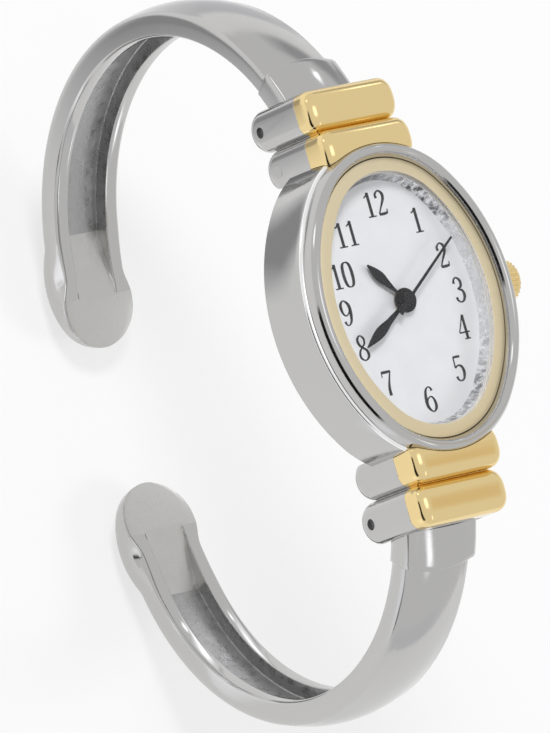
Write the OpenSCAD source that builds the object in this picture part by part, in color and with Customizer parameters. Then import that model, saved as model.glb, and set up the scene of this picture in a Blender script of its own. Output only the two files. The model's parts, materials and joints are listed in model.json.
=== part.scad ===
// Cuff watch: an oval head on two hinged bangle arms, worn with the dial up and 12 o'clock towards +Y.
// Lengths are millimetres. The origin is the middle of the caseback's outer face, +Z is out of the dial.
// Every oval is drawn from four arcs, and a second number "u" says how far a wall lies outside the bezel's oval.

/* [Case] */
// Width of the bezel, 9 to 3 o'clock
case_w = 21.4; // [20.8:0.1:22]
// Length of the bezel, 12 to 6 o'clock
case_l = 27.5; // [27:0.1:28.2]
// How much smaller the end arcs' radius is than half the width
end_narrow = 1.7; // [1.5:0.05:2]
// Height of the case from its back edge to the top of the bezel
case_h = 7.1; // [7:0.1:7.6]
// How far the case side swells outside the bezel
case_flare = 0.62; // [0.5:0.02:0.8]
// Height over which the case side rounds in to the top of the bezel
case_round_h = 5.4; // [5:0.1:5.6]
// Wall of the case round the movement, at the bezel's oval
case_wall = 2; // [1.9:0.05:2.1]
// Depth of the dial below the top of the bezel
dial_depth = 2.55; // [2.5:0.05:2.7]

/* [Crystal and dial] */
// Width of the gold ring that holds the crystal
ring_w = 1.05; // [0.9:0.05:1.15]
// Distance of the gold ring from the bezel's oval
ring_in = 1.2; // [1.1:0.05:1.3]
// Thickness of the crystal
crystal_t = 0.6; // [0.5:0.05:0.7]
// Width of the sloping ring between crystal and dial
rehaut_w = 0.35; // [0.25:0.05:0.5]
// Thickness of the dial
dial_t = 0.3; // [0.2:0.05:0.35]
// Clearance of parts that drop into a seat
seat_gap = 0.05; // [0.03:0.01:0.08]

/* [Hands] */
// Length of the hour hand from the centre
hour_l = 4.75; // [4:0.05:5.2]
// Length of the minute hand from the centre
minute_l = 6.6; // [6:0.05:7.2]
// Length of the seconds hand from the centre
second_l = 7.8; // [7:0.05:7.8]
// Widest part of the leaf hands
leaf_w = 0.95; // [0.7:0.05:1.1]
// Hour hand, degrees clockwise from 12
hour_angle = 320.7; // [0:0.1:360]
// Minute hand, degrees clockwise from 12
minute_angle = 238.9; // [0:0.1:360]
// Seconds hand, degrees clockwise from 12
second_angle = 54.2; // [0:0.1:360]

/* [Crown] */
// Diameter of the crown
crown_d = 3.6; // [3.2:0.1:4]
// Length of the crown
crown_l = 1.6; // [1.5:0.1:1.9]
// Number of flutes on the crown
crown_flutes = 26; // [20:1:30]
// Depth of the crown's axis below the dial
crown_drop = 0.95; // [0.9:0.05:1]
// Diameter of the stem
stem_d = 0.7; // [0.6:0.05:0.75]
// How far the crown pulls out to set the time
crown_pull = 0.8; // [0.5:0.1:0.8]

/* [Lugs] */
// Radius of the two rounded bars of each lug
bar_r = 1.925; // [1.85:0.025:2]
// Length of the lugs beyond the bezel
lug_l = 5.95; // [5.85:0.05:6.1]
// Width of the lugs
lug_w = 9.74; // [9.6:0.02:10]
// Top of the inner bar above the dial
inner_bar_top = 2.05; // [1.8:0.05:2.1]
// Top of the outer bar above the dial
outer_bar_top = 1.25; // [1.1:0.05:1.4]
// Underside of the gold cap below the dial
cap_drop = 1.25; // [1.1:0.05:1.4]

/* [Hinges] */
// Height of the hinge pins above the caseback's outer face
pin_z = -0.3; // [-0.4:0.05:-0.2]
// Diameter of the hinge pins
pin_d = 1; // [0.9:0.05:1.1]
// Width of the pocket that the arm sits in
pocket_w = 8.1; // [8:0.05:8.2]
// Height of the pocket above the hinge pin
pocket_h = 4.6; // [4.5:0.05:4.7]
// Clearance between the arm and each pocket wall
hinge_gap = 0.1; // [0.08:0.01:0.14]
// Radius of the arm's knuckles
knuckle_r = 1.5; // [1.4:0.05:1.55]

/* [Arms] */
// Radius of the arm's outer shoulder
arm_r = 21.2; // [21:0.05:21.4]
// How far the top of the arm's shoulder stands out of the lug's outer face
arm_proud = 0.02; // [0:0.01:0.05]
// Height of the top of the arm's shoulder above the hinge pin
arm_rise = 2.97; // [2.9:0.01:3]
// Width of the arm
arm_w = 7.4; // [7.2:0.05:7.5]
// Thickness of the arm from the inner rim to the shoulder
arm_t = 2.25; // [2.1:0.05:2.4]
// Height of the arm's crowned back above its shoulder
arm_crown = 0.55; // [0.4:0.05:0.65]
// Width of the channel inside the arm
channel_w = 4.2; // [3.8:0.1:4.4]
// Depth of the channel inside the arm
channel_depth = 1.45; // [1.2:0.05:1.5]
// How much thicker the collar by the hinge is
collar_t = 0.6; // [0.5:0.05:0.65]

/* [Tips] */
// Length of the flat tip beyond the arm's curve
tip_l = 8.7; // [8.4:0.1:9]
// Width of the tip
tip_w = 7.8; // [7.7:0.05:8]
// Greatest thickness of the tip
tip_t = 4.1; // [3.9:0.05:4.2]
// Lengthwise radius of the tip's rounded outside
tip_bulge_r = 7.6; // [7.4:0.1:8]
// Distance of the foot of the channel's ramp from the rounded end
ramp_foot = 4.6; // [4.3:0.1:5]

/* [Movement] */
// Tooth size of the going train's first pair, and of the seconds wheel
module_fast = 0.095; // [0.093:0.001:0.096]
// Distance of the third wheel from the middle
third_x = 2.6; // [2.58:0.01:2.65]
// Tooth size of the motion work under the dial
module_hour = 0.12; // [0.115:0.001:0.12]
// Thickness of the wheels
wheel_t = 0.2; // [0.15:0.01:0.22]
// Diameter of the battery
battery_d = 6.8; // [5.8:0.1:6.8]
// Thickness of the battery
battery_t = 2.1; // [1.6:0.1:2.15]
// Clearance of a pivot in its hole
pivot_gap = 0.03; // [0.02:0.005:0.04]

/* [Hidden] */
$fn = 96;
// A length that passes right through any piece it cuts
past = 60;

// The bezel's oval: two end arcs and two side arcs that meet smoothly
oval_d = (case_l - case_w) / 2;
end_r = case_w / 2 - end_narrow;
end_centre = case_l / 2 - end_r;
side_centre = oval_d * (2 * end_centre - oval_d) / (2 * end_narrow);
side_r = case_w / 2 + side_centre;
join_angle = atan(end_centre / side_centre);

// Levels of the head, from the caseback's outer face up
back_t = 0.85;
back_edge_z = 1.65;
crest_z = back_edge_z + case_h;
dial_z = crest_z - dial_depth;
dial_back_z = dial_z - dial_t;
ring_seat_h = 0.5;
rehaut_h = 1;
crystal_gasket_t = 0.15;
ring_seat_z = dial_z + ring_seat_h;
gasket_z = dial_z + rehaut_h;
crystal_z = gasket_z + crystal_gasket_t;
crystal_top_z = crystal_z + crystal_t;

// Walls as distances from the bezel's oval
cavity_u = -case_wall;
rehaut_u = cavity_u - seat_gap;
ring_inner_u = -ring_in - ring_w;
crystal_u = ring_inner_u - 0.03;
rehaut_top_u = crystal_u - 0.22;
rehaut_foot_u = rehaut_top_u - rehaut_w;
holder_u = cavity_u - 2 * seat_gap;
holder_in_u = holder_u - 1.5;
plate_u = holder_in_u - seat_gap;
spigot_in_u = holder_u - 0.5;
back_groove_u = -1.5;
back_groove_w = 0.4;
back_groove_h = 0.3;
lug_in_u = 0.1;
cap_gap = 0.04;

// The case side: a bevelled back edge, an upright stretch, and a quarter of an ellipse up to the bezel's crest
back_bevel_w = 0.32;
back_bevel_h = 0.4;
crest_u = -0.5;
case_outline = concat([[case_flare - back_bevel_w, back_edge_z], [case_flare, back_edge_z + back_bevel_h]],
    [for (a = [0:11.25:90]) [crest_u + (case_flare - crest_u) * cos(a), crest_z - case_round_h * (1 - sin(a))]]);

// Levels of the movement
plate_h = 1.8;
plate_floor_t = 0.8;
plate_z = dial_back_z - plate_h;
plate_floor_z = plate_z + plate_floor_t;
bridge_z = back_edge_z + 0.1;
bridge_t = 0.4;
center_wheel_z = plate_z - 0.35;
third_wheel_z = center_wheel_z - 0.45;
seconds_wheel_z = third_wheel_z - 0.5;
intermediate_wheel_z = seconds_wheel_z - 0.45;
cannon_z = plate_floor_z + 0.05;
minute_wheel_z = cannon_z + 0.05;
hour_wheel_z = minute_wheel_z + 0.35;
hour_hand_z = dial_z + 0.35;
minute_hand_z = hour_hand_z + 0.3;
second_hand_z = minute_hand_z + 0.3;
hand_t = 0.15;
second_hand_t = 0.1;

// The train: teeth, centres and arbors
rotor_teeth = 8;
intermediate_teeth = 40;
intermediate_pinion = 8;
seconds_teeth = 48;
seconds_pinion = 8;
third_teeth = 60;
third_pinion = 8;
center_teeth = 64;
cannon_teeth = 10;
minute_teeth = 30;
minute_pinion = 8;
hour_teeth = 32;
module_third = 2 * third_x / (seconds_pinion + third_teeth);
module_center = 2 * third_x / (third_pinion + center_teeth);
intermediate_y = (intermediate_pinion + seconds_teeth) * module_fast / 2;
rotor_y = intermediate_y + (rotor_teeth + intermediate_teeth) * module_fast / 2;
minute_d = (cannon_teeth + minute_teeth) * module_hour / 2;
minute_dir = -60;
arbor_r = 0.12;
seconds_arbor_r = 0.2;
cannon_r = 0.48;
hour_tube_r = 0.8;
minute_post_r = 0.2;
pillar_in = 5.4;
pillar_x = case_w / 2 - pillar_in;
pillar_y = 4.5;
pillar_r = 0.7;
battery_y = -6.1;
battery_z = 1.35;
coil_y = 7.6;
coil_z = 3.1;
coil_l = 4.6;
hour_hole_gap = 0.1;

// Crown and stem
crown_z = dial_z - crown_drop;
crown_x = case_w / 2 + case_flare + 0.2;
crown_r = crown_d / 2;
stem_r = stem_d / 2;
tube_r = 0.75;
tube_in_x = case_w / 2 + holder_u + 0.15;
tube_out_x = crown_x + 0.7;
recess_r = 1.05;
recess_l = 1.05;
stem_in = 5.3;
stem_end = 0.35;
stem_in_x = case_w / 2 - stem_in;
groove_x = stem_in_x + stem_end;
groove_w = 0.3;
groove_r = 0.2;

// Lugs and hinges
lug_reach = case_l / 2 + lug_l;
outer_bar_y = lug_reach - bar_r;
bar_overlap = 0.05;
inner_bar_y = outer_bar_y - 2 * bar_r + bar_overlap;
inner_bar_z = 0.5;
cap_z = dial_z - cap_drop;
bar_bevel_x = 0.5;
bar_bevel_r = 1.1;
pocket_in_y = inner_bar_y + bar_r + 0.3;
pocket_top_z = pin_z + pocket_h;
pin_r = pin_d / 2;
pin_l = lug_w - 0.5;
bore_r = pin_r + pivot_gap;
spring_slot_w = 3;
spring_slot_r = 1.75;
spring_wire_r = 0.175;
spring_r = 0.85;
spring_turns = 3.25;
spring_pitch = 0.65;

// Arms: each is a section turned about a centre of curve, from the lug round to where its flat tip begins
collar_from = 58;
collar_to = 66;
tip_from = -78.5;
channel_to = 62;
ramp_angle = 4.5;
arm_y = lug_reach + arm_proud - arm_r * cos(collar_to);
arm_z = pin_z + arm_rise - arm_r * sin(collar_to);
arm_in_r = arm_r - arm_t;
arm_half = arm_w / 2;
rim_bevel = 0.3;
flank_deep = 1.4;
shoulder_h = 0.6;
shoulder_w = 0.65;
crown_half = arm_half - shoulder_w;
crown_arc_r = (pow(crown_half, 2) + pow(arm_crown, 2)) / (2 * arm_crown);
collar_half = pocket_w / 2 - hinge_gap;

// Tips: distances along a tip are from its rounded end
tip_half = tip_w / 2;
tip_wide_to = 4.3;
tip_neck_from = 6.6;
tip_neck_half = arm_half - rim_bevel - 0.05;
tip_body_l = 11.2;
tip_side_deep = 0.8;
tip_bulge_at = 6.4;
tip_bulge_edge = 1.9;
tip_crown_r = 6.2;
stem_from = 5;

// Flat shape of an oval that lies u outside the bezel's oval
module oval(u) {
    reach = past;
    rise = end_centre + reach * tan(join_angle);
    intersection() {
        translate([-side_centre, 0]) circle(r = side_r + u, $fn = 200);
        translate([side_centre, 0]) circle(r = side_r + u, $fn = 200);
        union() {
            for (s = [-1, 1]) translate([0, s * end_centre]) circle(r = end_r + u);
            polygon([[0, end_centre], [reach, rise], [reach, -rise], [0, -end_centre], [-reach, -rise],
                [-reach, rise]]);
        }
    }
}

// Plate with an oval outline
module oval_plate(u, z, t) {
    translate([0, 0, z]) linear_extrude(t) oval(u);
}

// Flat ring between two ovals
module oval_band(u_out, u_in, z, t) {
    translate([0, 0, z]) linear_extrude(t) difference() {
        oval(u_out);
        oval(u_in);
    }
}

function spun(r, outline) = [for (p = outline) [r + p[0], p[1]]];

function moved(outline, du) = [for (p = outline) [p[0] + du, p[1]]];

// Upright wedge about +X, half an angle wide each way
module wedge(half_angle) {
    x = past * cos(half_angle);
    y = past * sin(half_angle);
    translate([0, 0, -past / 2]) linear_extrude(past) polygon([[0, 0], [x, -y], [x, y]]);
}

// Quarter of an oval rim, turned about the centre of a side arc or of an end arc
module rim_sector(r, outline, half_angle, facets) {
    intersection() {
        rotate([0, 0, 180]) rotate_extrude($fn = facets) polygon(spun(r, outline));
        wedge(half_angle);
    }
}

// Oval rim whose cross-section is a closed outline of [u, z] points. A round key of [u, z, radius] inside the
// section runs across each join of two arcs, so that they are one piece at any size
module oval_rim(outline, key) {
    for (s = [0, 180]) rotate([0, 0, s]) {
        translate([-side_centre, 0, 0]) {
            rim_sector(side_r, outline, join_angle, 200);
            if (key) for (a = [-join_angle, join_angle]) rotate([0, 0, a])
                translate([side_r + key[0], 0, key[1]]) rotate([90, 0, 0])
                    cylinder(r = key[2], h = 4 * key[2], center = true, $fn = 24);
        }
        translate([0, end_centre, 0]) rotate([0, 0, 90]) rim_sector(end_r, outline, 90 - join_angle, 96);
    }
}

// Round body that follows the end arc at 12 o'clock, for cutting what seats against the case there
module end_body(outline) {
    translate([0, end_centre, 0]) rotate_extrude()
        polygon(concat([[0, outline[0][1]]], spun(end_r, outline), [[0, outline[len(outline) - 1][1]]]));
}

// Cylinder along X, centred on x = 0 unless told otherwise
module along_x(r, l, x = 0) {
    translate([x, 0, 0]) rotate([0, 90, 0]) cylinder(r = r, h = l, center = true);
}

// Copy of an upper piece at the 6 o'clock end
module lower() {
    mirror([0, 1, 0]) children();
}

// One rounded bar of a lug, with bevelled ends
module lug_bar(y, z_low, z_high) {
    w = lug_w / 2;
    half = [[0, -w], [bar_r - bar_bevel_r, -w], [bar_r, bar_bevel_x - w], [bar_r, w - bar_bevel_x],
        [bar_r - bar_bevel_r, w], [0, w]];
    for (z = [z_low, z_high])
        translate([0, y, z]) rotate([0, 90, 0]) rotate_extrude() polygon(half);
    translate([0, y, z_low]) linear_extrude(z_high - z_low)
        polygon(concat([for (p = half) [p[1], p[0]]], [for (i = [5:-1:0]) [half[i][1], -half[i][0]]]));
}

module lug_bars() {
    lug_bar(inner_bar_y, inner_bar_z, dial_z + inner_bar_top - bar_r);
    lug_bar(outer_bar_y, pin_z, dial_z + outer_bar_top - bar_r);
}

// Silver lower half of the upper lug, cut for the arm and its pin
module lug_base() {
    difference() {
        lug_bars();
        translate([-past / 2, 0, cap_z]) cube([past, past, past]);
        translate([0, end_centre, -past / 2]) cylinder(r = end_r + lug_in_u, h = past);
        translate([-pocket_w / 2, pocket_in_y, -past]) cube([pocket_w, past, past + pocket_top_z]);
        translate([0, outer_bar_y, pin_z]) along_x(pin_r, past);
    }
}

module case() {
    ring_wall_u = seat_gap - ring_in;
    lip_w = 0.1;
    slope_h = 0.8;
    section = concat(case_outline, [[crest_u - lip_w, crest_z], [crest_u - 4 * lip_w, crest_z - slope_h * 0.44],
        [ring_wall_u, crest_z - slope_h], [ring_wall_u, ring_seat_z], [cavity_u, ring_seat_z],
        [cavity_u, back_edge_z]]);
    color("silver") difference() {
        union() {
            oval_rim(section, [-case_wall / 2, (back_edge_z + ring_seat_z) / 2, case_wall / 4]);
            lug_base();
            lower() lug_base();
        }
        translate([0, 0, crown_z]) along_x(tube_r, past, past / 2);
    }
}

module lug_cap() {
    difference() {
        lug_bars();
        translate([-past / 2, 0, cap_z - past]) cube([past, past, past]);
        end_body(moved(case_outline, cap_gap));
    }
}

module upper_lug_cap() {
    color("gold") lug_cap();
}

module lower_lug_cap() {
    color("gold") lower() lug_cap();
}

module bezel_ring() {
    edge = 0.12;
    top_h = 0.3;
    color("palegoldenrod") oval_rim([[-ring_in, ring_seat_z], [-ring_in, crystal_top_z - top_h],
        [-ring_in - edge, crystal_top_z - edge], [-ring_in - ring_w * 0.38, crystal_top_z - edge / 6],
        [-ring_in - ring_w * 0.67, crystal_top_z], [ring_inner_u + edge, crystal_top_z - edge / 6],
        [ring_inner_u, crystal_top_z - edge], [ring_inner_u, gasket_z], [cavity_u, gasket_z],
        [cavity_u, ring_seat_z]], [(cavity_u - ring_in) / 2, gasket_z, 0.2]);
}

module crystal() {
    bevel = 0.1;
    color("lightcyan", 0.4) {
        oval_plate(crystal_u - bevel, crystal_z, crystal_t);
        oval_rim([[crystal_u - 2 * bevel, crystal_z], [crystal_u, crystal_z],
            [crystal_u, crystal_top_z - bevel], [crystal_u - bevel, crystal_top_z],
            [crystal_u - 2 * bevel, crystal_top_z]]);
    }
}

module crystal_gasket() {
    color("dimgray") oval_band(crystal_u, rehaut_top_u, gasket_z, crystal_z - gasket_z);
}

module rehaut() {
    color("gainsboro") oval_rim([[rehaut_u, dial_z], [rehaut_u, gasket_z], [rehaut_top_u, gasket_z],
        [rehaut_foot_u, dial_z]], [(rehaut_u + rehaut_top_u) / 2, (dial_z + gasket_z) / 2, 0.15]);
}

module dial() {
    color("white") difference() {
        oval_plate(rehaut_u, dial_back_z, dial_t);
        cylinder(r = hour_tube_r + hour_hole_gap, h = past);
    }
}

// Leaf-shaped hand that points to 12 and turns clockwise by its angle
module leaf_hand(l, boss_r, hole_r, z, angle) {
    neck = 0.14;
    w = leaf_w / 2;
    half = [[neck, 0], [neck, boss_r + 0.35], [w * 0.62, l * 0.48], [w * 0.92, l * 0.6], [w, l * 0.68],
        [w * 0.84, l * 0.78], [w * 0.5, l * 0.89], [0.04, l]];
    n = len(half);
    translate([0, 0, z]) rotate([0, 0, -angle]) linear_extrude(hand_t) difference() {
        union() {
            polygon(concat(half, [for (i = [n - 1:-1:0]) [-half[i][0], half[i][1]]]));
            circle(r = boss_r);
        }
        circle(r = hole_r);
    }
}

module hour_hand() {
    color("black") leaf_hand(hour_l, 1.1, hour_tube_r, hour_hand_z, hour_angle);
}

module minute_hand() {
    color("black") leaf_hand(minute_l, 0.9, cannon_r, minute_hand_z, minute_angle);
}

module second_hand() {
    tail = 1.7;
    root_w = 0.1;
    tip_half_w = 0.06;
    color("black") translate([0, 0, second_hand_z]) rotate([0, 0, -second_angle])
        linear_extrude(second_hand_t) difference() {
            union() {
                polygon([[root_w, -tail], [root_w, 0], [tip_half_w, second_l], [-tip_half_w, second_l],
                    [-root_w, 0], [-root_w, -tail]]);
                circle(r = 0.6);
            }
            circle(r = seconds_arbor_r);
        }
}

module crown() {
    flute_r = 0.17;
    dome_h = 0.35;
    flat_r = 1.1;
    color("gold") translate([crown_x, 0, crown_z]) rotate([0, 90, 0]) difference() {
        union() {
            linear_extrude(crown_l - dome_h) difference() {
                circle(r = crown_r);
                for (i = [0:crown_flutes - 1]) rotate(i * 360 / crown_flutes)
                    translate([crown_r + 0.05, 0]) circle(r = flute_r, $fn = 16);
            }
            rotate_extrude() polygon([[0, crown_l - dome_h], [crown_r - 0.15, crown_l - dome_h],
                [crown_r - 0.25, crown_l - 0.15], [flat_r, crown_l - 0.04], [0, crown_l]]);
        }
        translate([0, 0, -1]) cylinder(r = recess_r, h = 1 + recess_l);
    }
}

module crown_gasket() {
    color("dimgray") translate([crown_x + 0.35, 0, crown_z]) rotate([0, 90, 0]) difference() {
        cylinder(r = recess_r, h = 0.3);
        translate([0, 0, -1]) cylinder(r = tube_r + pivot_gap, h = 2);
    }
}

module crown_stem() {
    color("gray") translate([0, 0, crown_z]) rotate([0, 90, 0]) rotate_extrude()
        polygon([[0, stem_in_x], [stem_r, stem_in_x], [stem_r, groove_x], [groove_r, groove_x],
            [groove_r, groove_x + groove_w], [stem_r, groove_x + groove_w], [stem_r, crown_x + recess_l],
            [0, crown_x + recess_l]]);
}

module crown_tube() {
    color("silver") translate([tube_in_x, 0, crown_z]) rotate([0, 90, 0]) difference() {
        cylinder(r = tube_r, h = tube_out_x - tube_in_x);
        translate([0, 0, -1]) cylinder(r = stem_r + pivot_gap, h = past);
    }
}

module caseback() {
    groove_z = back_edge_z - back_groove_h;
    spigot_z = back_edge_z + 0.55;
    side_u = -0.35;
    round_w = 1.25;
    overlap = 0.2;
    rim_in_u = spigot_in_u - 2 * overlap;
    color("silver") {
        oval_plate(rim_in_u + overlap, 0, back_t);
        oval_rim(concat([[rim_in_u, 0]],
            [for (a = [0:22.5:90]) [side_u - round_w * (1 - sin(a)), back_edge_z * (1 - cos(a))]],
            [[back_groove_u, back_edge_z], [back_groove_u, groove_z], [back_groove_u - back_groove_w, groove_z],
            [back_groove_u - back_groove_w, back_edge_z], [rehaut_u, back_edge_z], [rehaut_u, spigot_z],
            [spigot_in_u, spigot_z], [spigot_in_u, back_t], [rim_in_u, back_t]]));
    }
}

module caseback_gasket() {
    gap = 0.02;
    color("dimgray") oval_band(back_groove_u - gap, back_groove_u - back_groove_w + gap,
        back_edge_z - back_groove_h + gap, back_groove_h - gap);
}

module movement_ring() {
    lip_z = bridge_z - 0.25;
    step_z = back_edge_z + 0.65;
    color("white") difference() {
        oval_plate(holder_u, lip_z, dial_back_z - lip_z);
        oval_plate(holder_in_u, bridge_z, past);
        oval_plate(holder_in_u - 0.5, 0, past);
        oval_band(1, spigot_in_u - seat_gap, 0, step_z);
        translate([0, 0, crown_z]) along_x(stem_r + 0.15, past, past / 2);
    }
}

module train_holes(r) {
    for (p = [[-third_x, 0], [0, intermediate_y], [0, rotor_y]]) translate([p[0], p[1], 0])
        translate([0, 0, -past / 2]) cylinder(r = r, h = past);
}

module main_plate() {
    recess_work_r = 4.7;
    lever_slot_x = groove_x - 0.55;
    lever_slot_y = -0.8;
    lever_slot_l = 3.4;
    color("goldenrod") {
        difference() {
            oval_plate(plate_u, plate_z, dial_back_z - plate_z);
            translate([0, 0, plate_floor_z]) cylinder(r = recess_work_r, h = past);
            translate([0, 0, crown_z]) along_x(stem_r + 0.15, past, past / 2 + stem_in_x - 0.6);
            translate([lever_slot_x, lever_slot_y, plate_floor_z - 0.5]) cube([past, lever_slot_l, past]);
            train_holes(arbor_r + pivot_gap);
            cylinder(r = cannon_r + pivot_gap, h = past);
        }
        for (x = [-pillar_x, pillar_x]) for (y = [-pillar_y, pillar_y])
            translate([x, y, bridge_z + bridge_t]) cylinder(r = pillar_r, h = plate_z - bridge_z - bridge_t + 0.1);
        rotate([0, 0, minute_dir]) translate([minute_d, 0, plate_floor_z - 0.1])
            cylinder(r = minute_post_r, h = 0.9);
    }
}

module train_bridge() {
    color("goldenrod") difference() {
        oval_plate(plate_u, bridge_z, bridge_t);
        translate([0, battery_y, 0]) cylinder(r = battery_d / 2 + 0.15, h = past);
        train_holes(arbor_r + pivot_gap);
        translate([0, 0, -1]) cylinder(r = seconds_arbor_r + pivot_gap, h = past);
    }
}

module battery() {
    color("silver") translate([0, battery_y, battery_z]) rotate_extrude()
        polygon([[0, 0], [battery_d / 2 - 0.15, 0], [battery_d / 2, 0.15], [battery_d / 2, battery_t - 0.3],
            [battery_d / 2 - 0.6, battery_t - 0.2], [battery_d / 2 - 0.6, battery_t], [0, battery_t]]);
}

module battery_clamp() {
    clamp_t = 0.15;
    clamp_w = 1.6;
    clamp_half = pillar_x - 0.2;
    foot_w = 0.6;
    clamp_in = 1.1;
    clamp_y = -pillar_y - clamp_in;
    color("silver") translate([0, clamp_y, battery_z - clamp_t]) {
        translate([-clamp_half, 0, 0]) cube([2 * clamp_half, clamp_w, clamp_t]);
        for (x = [-clamp_half, clamp_half - foot_w]) translate([x, 0, 0])
            cube([foot_w, clamp_w, bridge_z - battery_z + clamp_t]);
    }
}

module circuit_board() {
    board_t = 0.25;
    color("darkgreen") difference() {
        oval_plate(holder_in_u - 0.6, bridge_z - board_t, board_t);
        translate([-past / 2, -past - 1.5, 0]) cube([past, past, past]);
        train_holes(0.5);
        translate([0, 0, -1]) cylinder(r = 0.6, h = past);
    }
}

module quartz_can() {
    can_r = 0.6;
    can_l = 4.6;
    can_gap = 0.02;
    color("silver") translate([pillar_x - 0.1, 0, plate_z - can_r - can_gap]) rotate([90, 0, 0])
        cylinder(r = can_r, h = can_l, center = true);
}

module coil() {
    coil_r = 0.8;
    cheek_r = 0.95;
    cheek_t = 0.25;
    color("brown") translate([0, coil_y, coil_z]) difference() {
        union() {
            along_x(coil_r, coil_l);
            for (s = [-1, 1]) along_x(cheek_r, cheek_t, s * (coil_l + 0.8 * cheek_t) / 2);
        }
        cube([past, 0.7, 0.3], center = true);
    }
}

module stator() {
    t = 0.3;
    leg_x = 3.75;
    leg_w = 1;
    leg_top_y = 8.1;
    base_y = 3.6;
    base_h = 2.7;
    core_w = 0.66;
    color("lightgray") translate([0, 0, coil_z - t / 2]) linear_extrude(t) difference() {
        union() {
            translate([-leg_x, base_y]) square([2 * leg_x, base_h]);
            for (x = [-leg_x, leg_x - leg_w]) translate([x, base_y]) square([leg_w, leg_top_y - base_y]);
            translate([leg_w / 2 - leg_x, coil_y - core_w / 2]) square([2 * leg_x - leg_w, core_w]);
        }
        translate([0, rotor_y]) circle(r = 1.05);
    }
}

// Flat wheel with straight-sided teeth; a tooth points along +X before it is turned
module toothed(teeth, m, t) {
    step = 360 / teeth;
    root = teeth * m / 2 - 1.1 * m;
    tip = teeth * m / 2 + 0.85 * m;
    linear_extrude(t) polygon([for (i = [0:teeth - 1]) for (k = [[-0.27, root], [-0.1, tip], [0.1, tip],
        [0.27, root]]) [k[1] * cos((i + k[0]) * step), k[1] * sin((i + k[0]) * step)]]);
}

module arbor(r, z_low, z_high) {
    translate([0, 0, z_low]) cylinder(r = r, h = z_high - z_low);
}

module rotor() {
    color("dimgray") translate([0, rotor_y, 0]) {
        translate([0, 0, coil_z - 0.5]) cylinder(r = 0.9, h = 1);
        translate([0, 0, intermediate_wheel_z - 0.05]) rotate(90 + 180 / rotor_teeth)
            toothed(rotor_teeth, module_fast, 0.35);
        arbor(arbor_r, bridge_z + 0.1, plate_z + 0.3);
    }
}

module intermediate_wheel() {
    color("gold") translate([0, intermediate_y, 0]) {
        translate([0, 0, intermediate_wheel_z]) rotate(90) toothed(intermediate_teeth, module_fast, wheel_t);
        translate([0, 0, intermediate_wheel_z + wheel_t - 0.01]) rotate(90)
            toothed(intermediate_pinion, module_fast, seconds_wheel_z - intermediate_wheel_z + 0.06);
        arbor(arbor_r, bridge_z + 0.1, plate_z + 0.3);
    }
}

module seconds_wheel() {
    color("gold") {
        translate([0, 0, seconds_wheel_z]) rotate(90 + 180 / seconds_teeth)
            toothed(seconds_teeth, module_fast, wheel_t);
        translate([0, 0, seconds_wheel_z + wheel_t - 0.01]) rotate(180)
            toothed(seconds_pinion, module_third, third_wheel_z - seconds_wheel_z + 0.06);
        arbor(seconds_arbor_r, bridge_z + 0.1, second_hand_z + second_hand_t);
    }
}

module third_wheel() {
    color("gold") translate([-third_x, 0, 0]) {
        translate([0, 0, third_wheel_z]) rotate(180 / third_teeth) toothed(third_teeth, module_third, wheel_t);
        translate([0, 0, third_wheel_z + wheel_t - 0.01])
            toothed(third_pinion, module_center, center_wheel_z - third_wheel_z + 0.06);
        arbor(arbor_r, bridge_z + 0.1, plate_z + 0.3);
    }
}

module center_wheel() {
    color("gold") difference() {
        union() {
            translate([0, 0, center_wheel_z]) rotate(180 + 180 / center_teeth)
                toothed(center_teeth, module_center, wheel_t);
            translate([0, 0, center_wheel_z]) cylinder(r = cannon_r, h = minute_hand_z + hand_t - center_wheel_z);
            translate([0, 0, cannon_z]) rotate(minute_dir)
                toothed(cannon_teeth, module_hour, hour_wheel_z - cannon_z - 0.05);
        }
        cylinder(r = seconds_arbor_r + pivot_gap, h = past);
    }
}

module minute_wheel() {
    color("gold") rotate(minute_dir) translate([minute_d, 0, 0]) difference() {
        union() {
            translate([0, 0, minute_wheel_z]) rotate(180 + 180 / minute_teeth)
                toothed(minute_teeth, module_hour, wheel_t);
            translate([0, 0, minute_wheel_z + wheel_t - 0.01]) rotate(180)
                toothed(minute_pinion, module_hour, hour_wheel_z - minute_wheel_z + 0.06);
        }
        cylinder(r = minute_post_r + pivot_gap, h = past);
    }
}

module hour_wheel() {
    color("gold") difference() {
        union() {
            translate([0, 0, hour_wheel_z]) rotate(minute_dir + 180 / hour_teeth)
                toothed(hour_teeth, module_hour, wheel_t);
            translate([0, 0, hour_wheel_z]) cylinder(r = hour_tube_r, h = hour_hand_z + hand_t - hour_wheel_z);
        }
        cylinder(r = cannon_r + pivot_gap, h = past);
    }
}

module setting_lever() {
    lever_z = crown_z - stem_r - 0.45;
    lever_t = 0.2;
    lever_w = 0.65;
    lever_l = 2.3;
    lever_foot = 0.5;
    lever_end = 0.15;
    peg_r = 0.12;
    peg_x = groove_x + groove_w / 2;
    color("silver") {
        translate([peg_x + lever_end - lever_w, -lever_foot, lever_z]) cube([lever_w, lever_l, lever_t]);
        translate([peg_x, 0, lever_z + lever_t - 0.01])
            cylinder(r = peg_r, h = crown_z - groove_r - 0.04 - lever_z - lever_t);
    }
}

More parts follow.
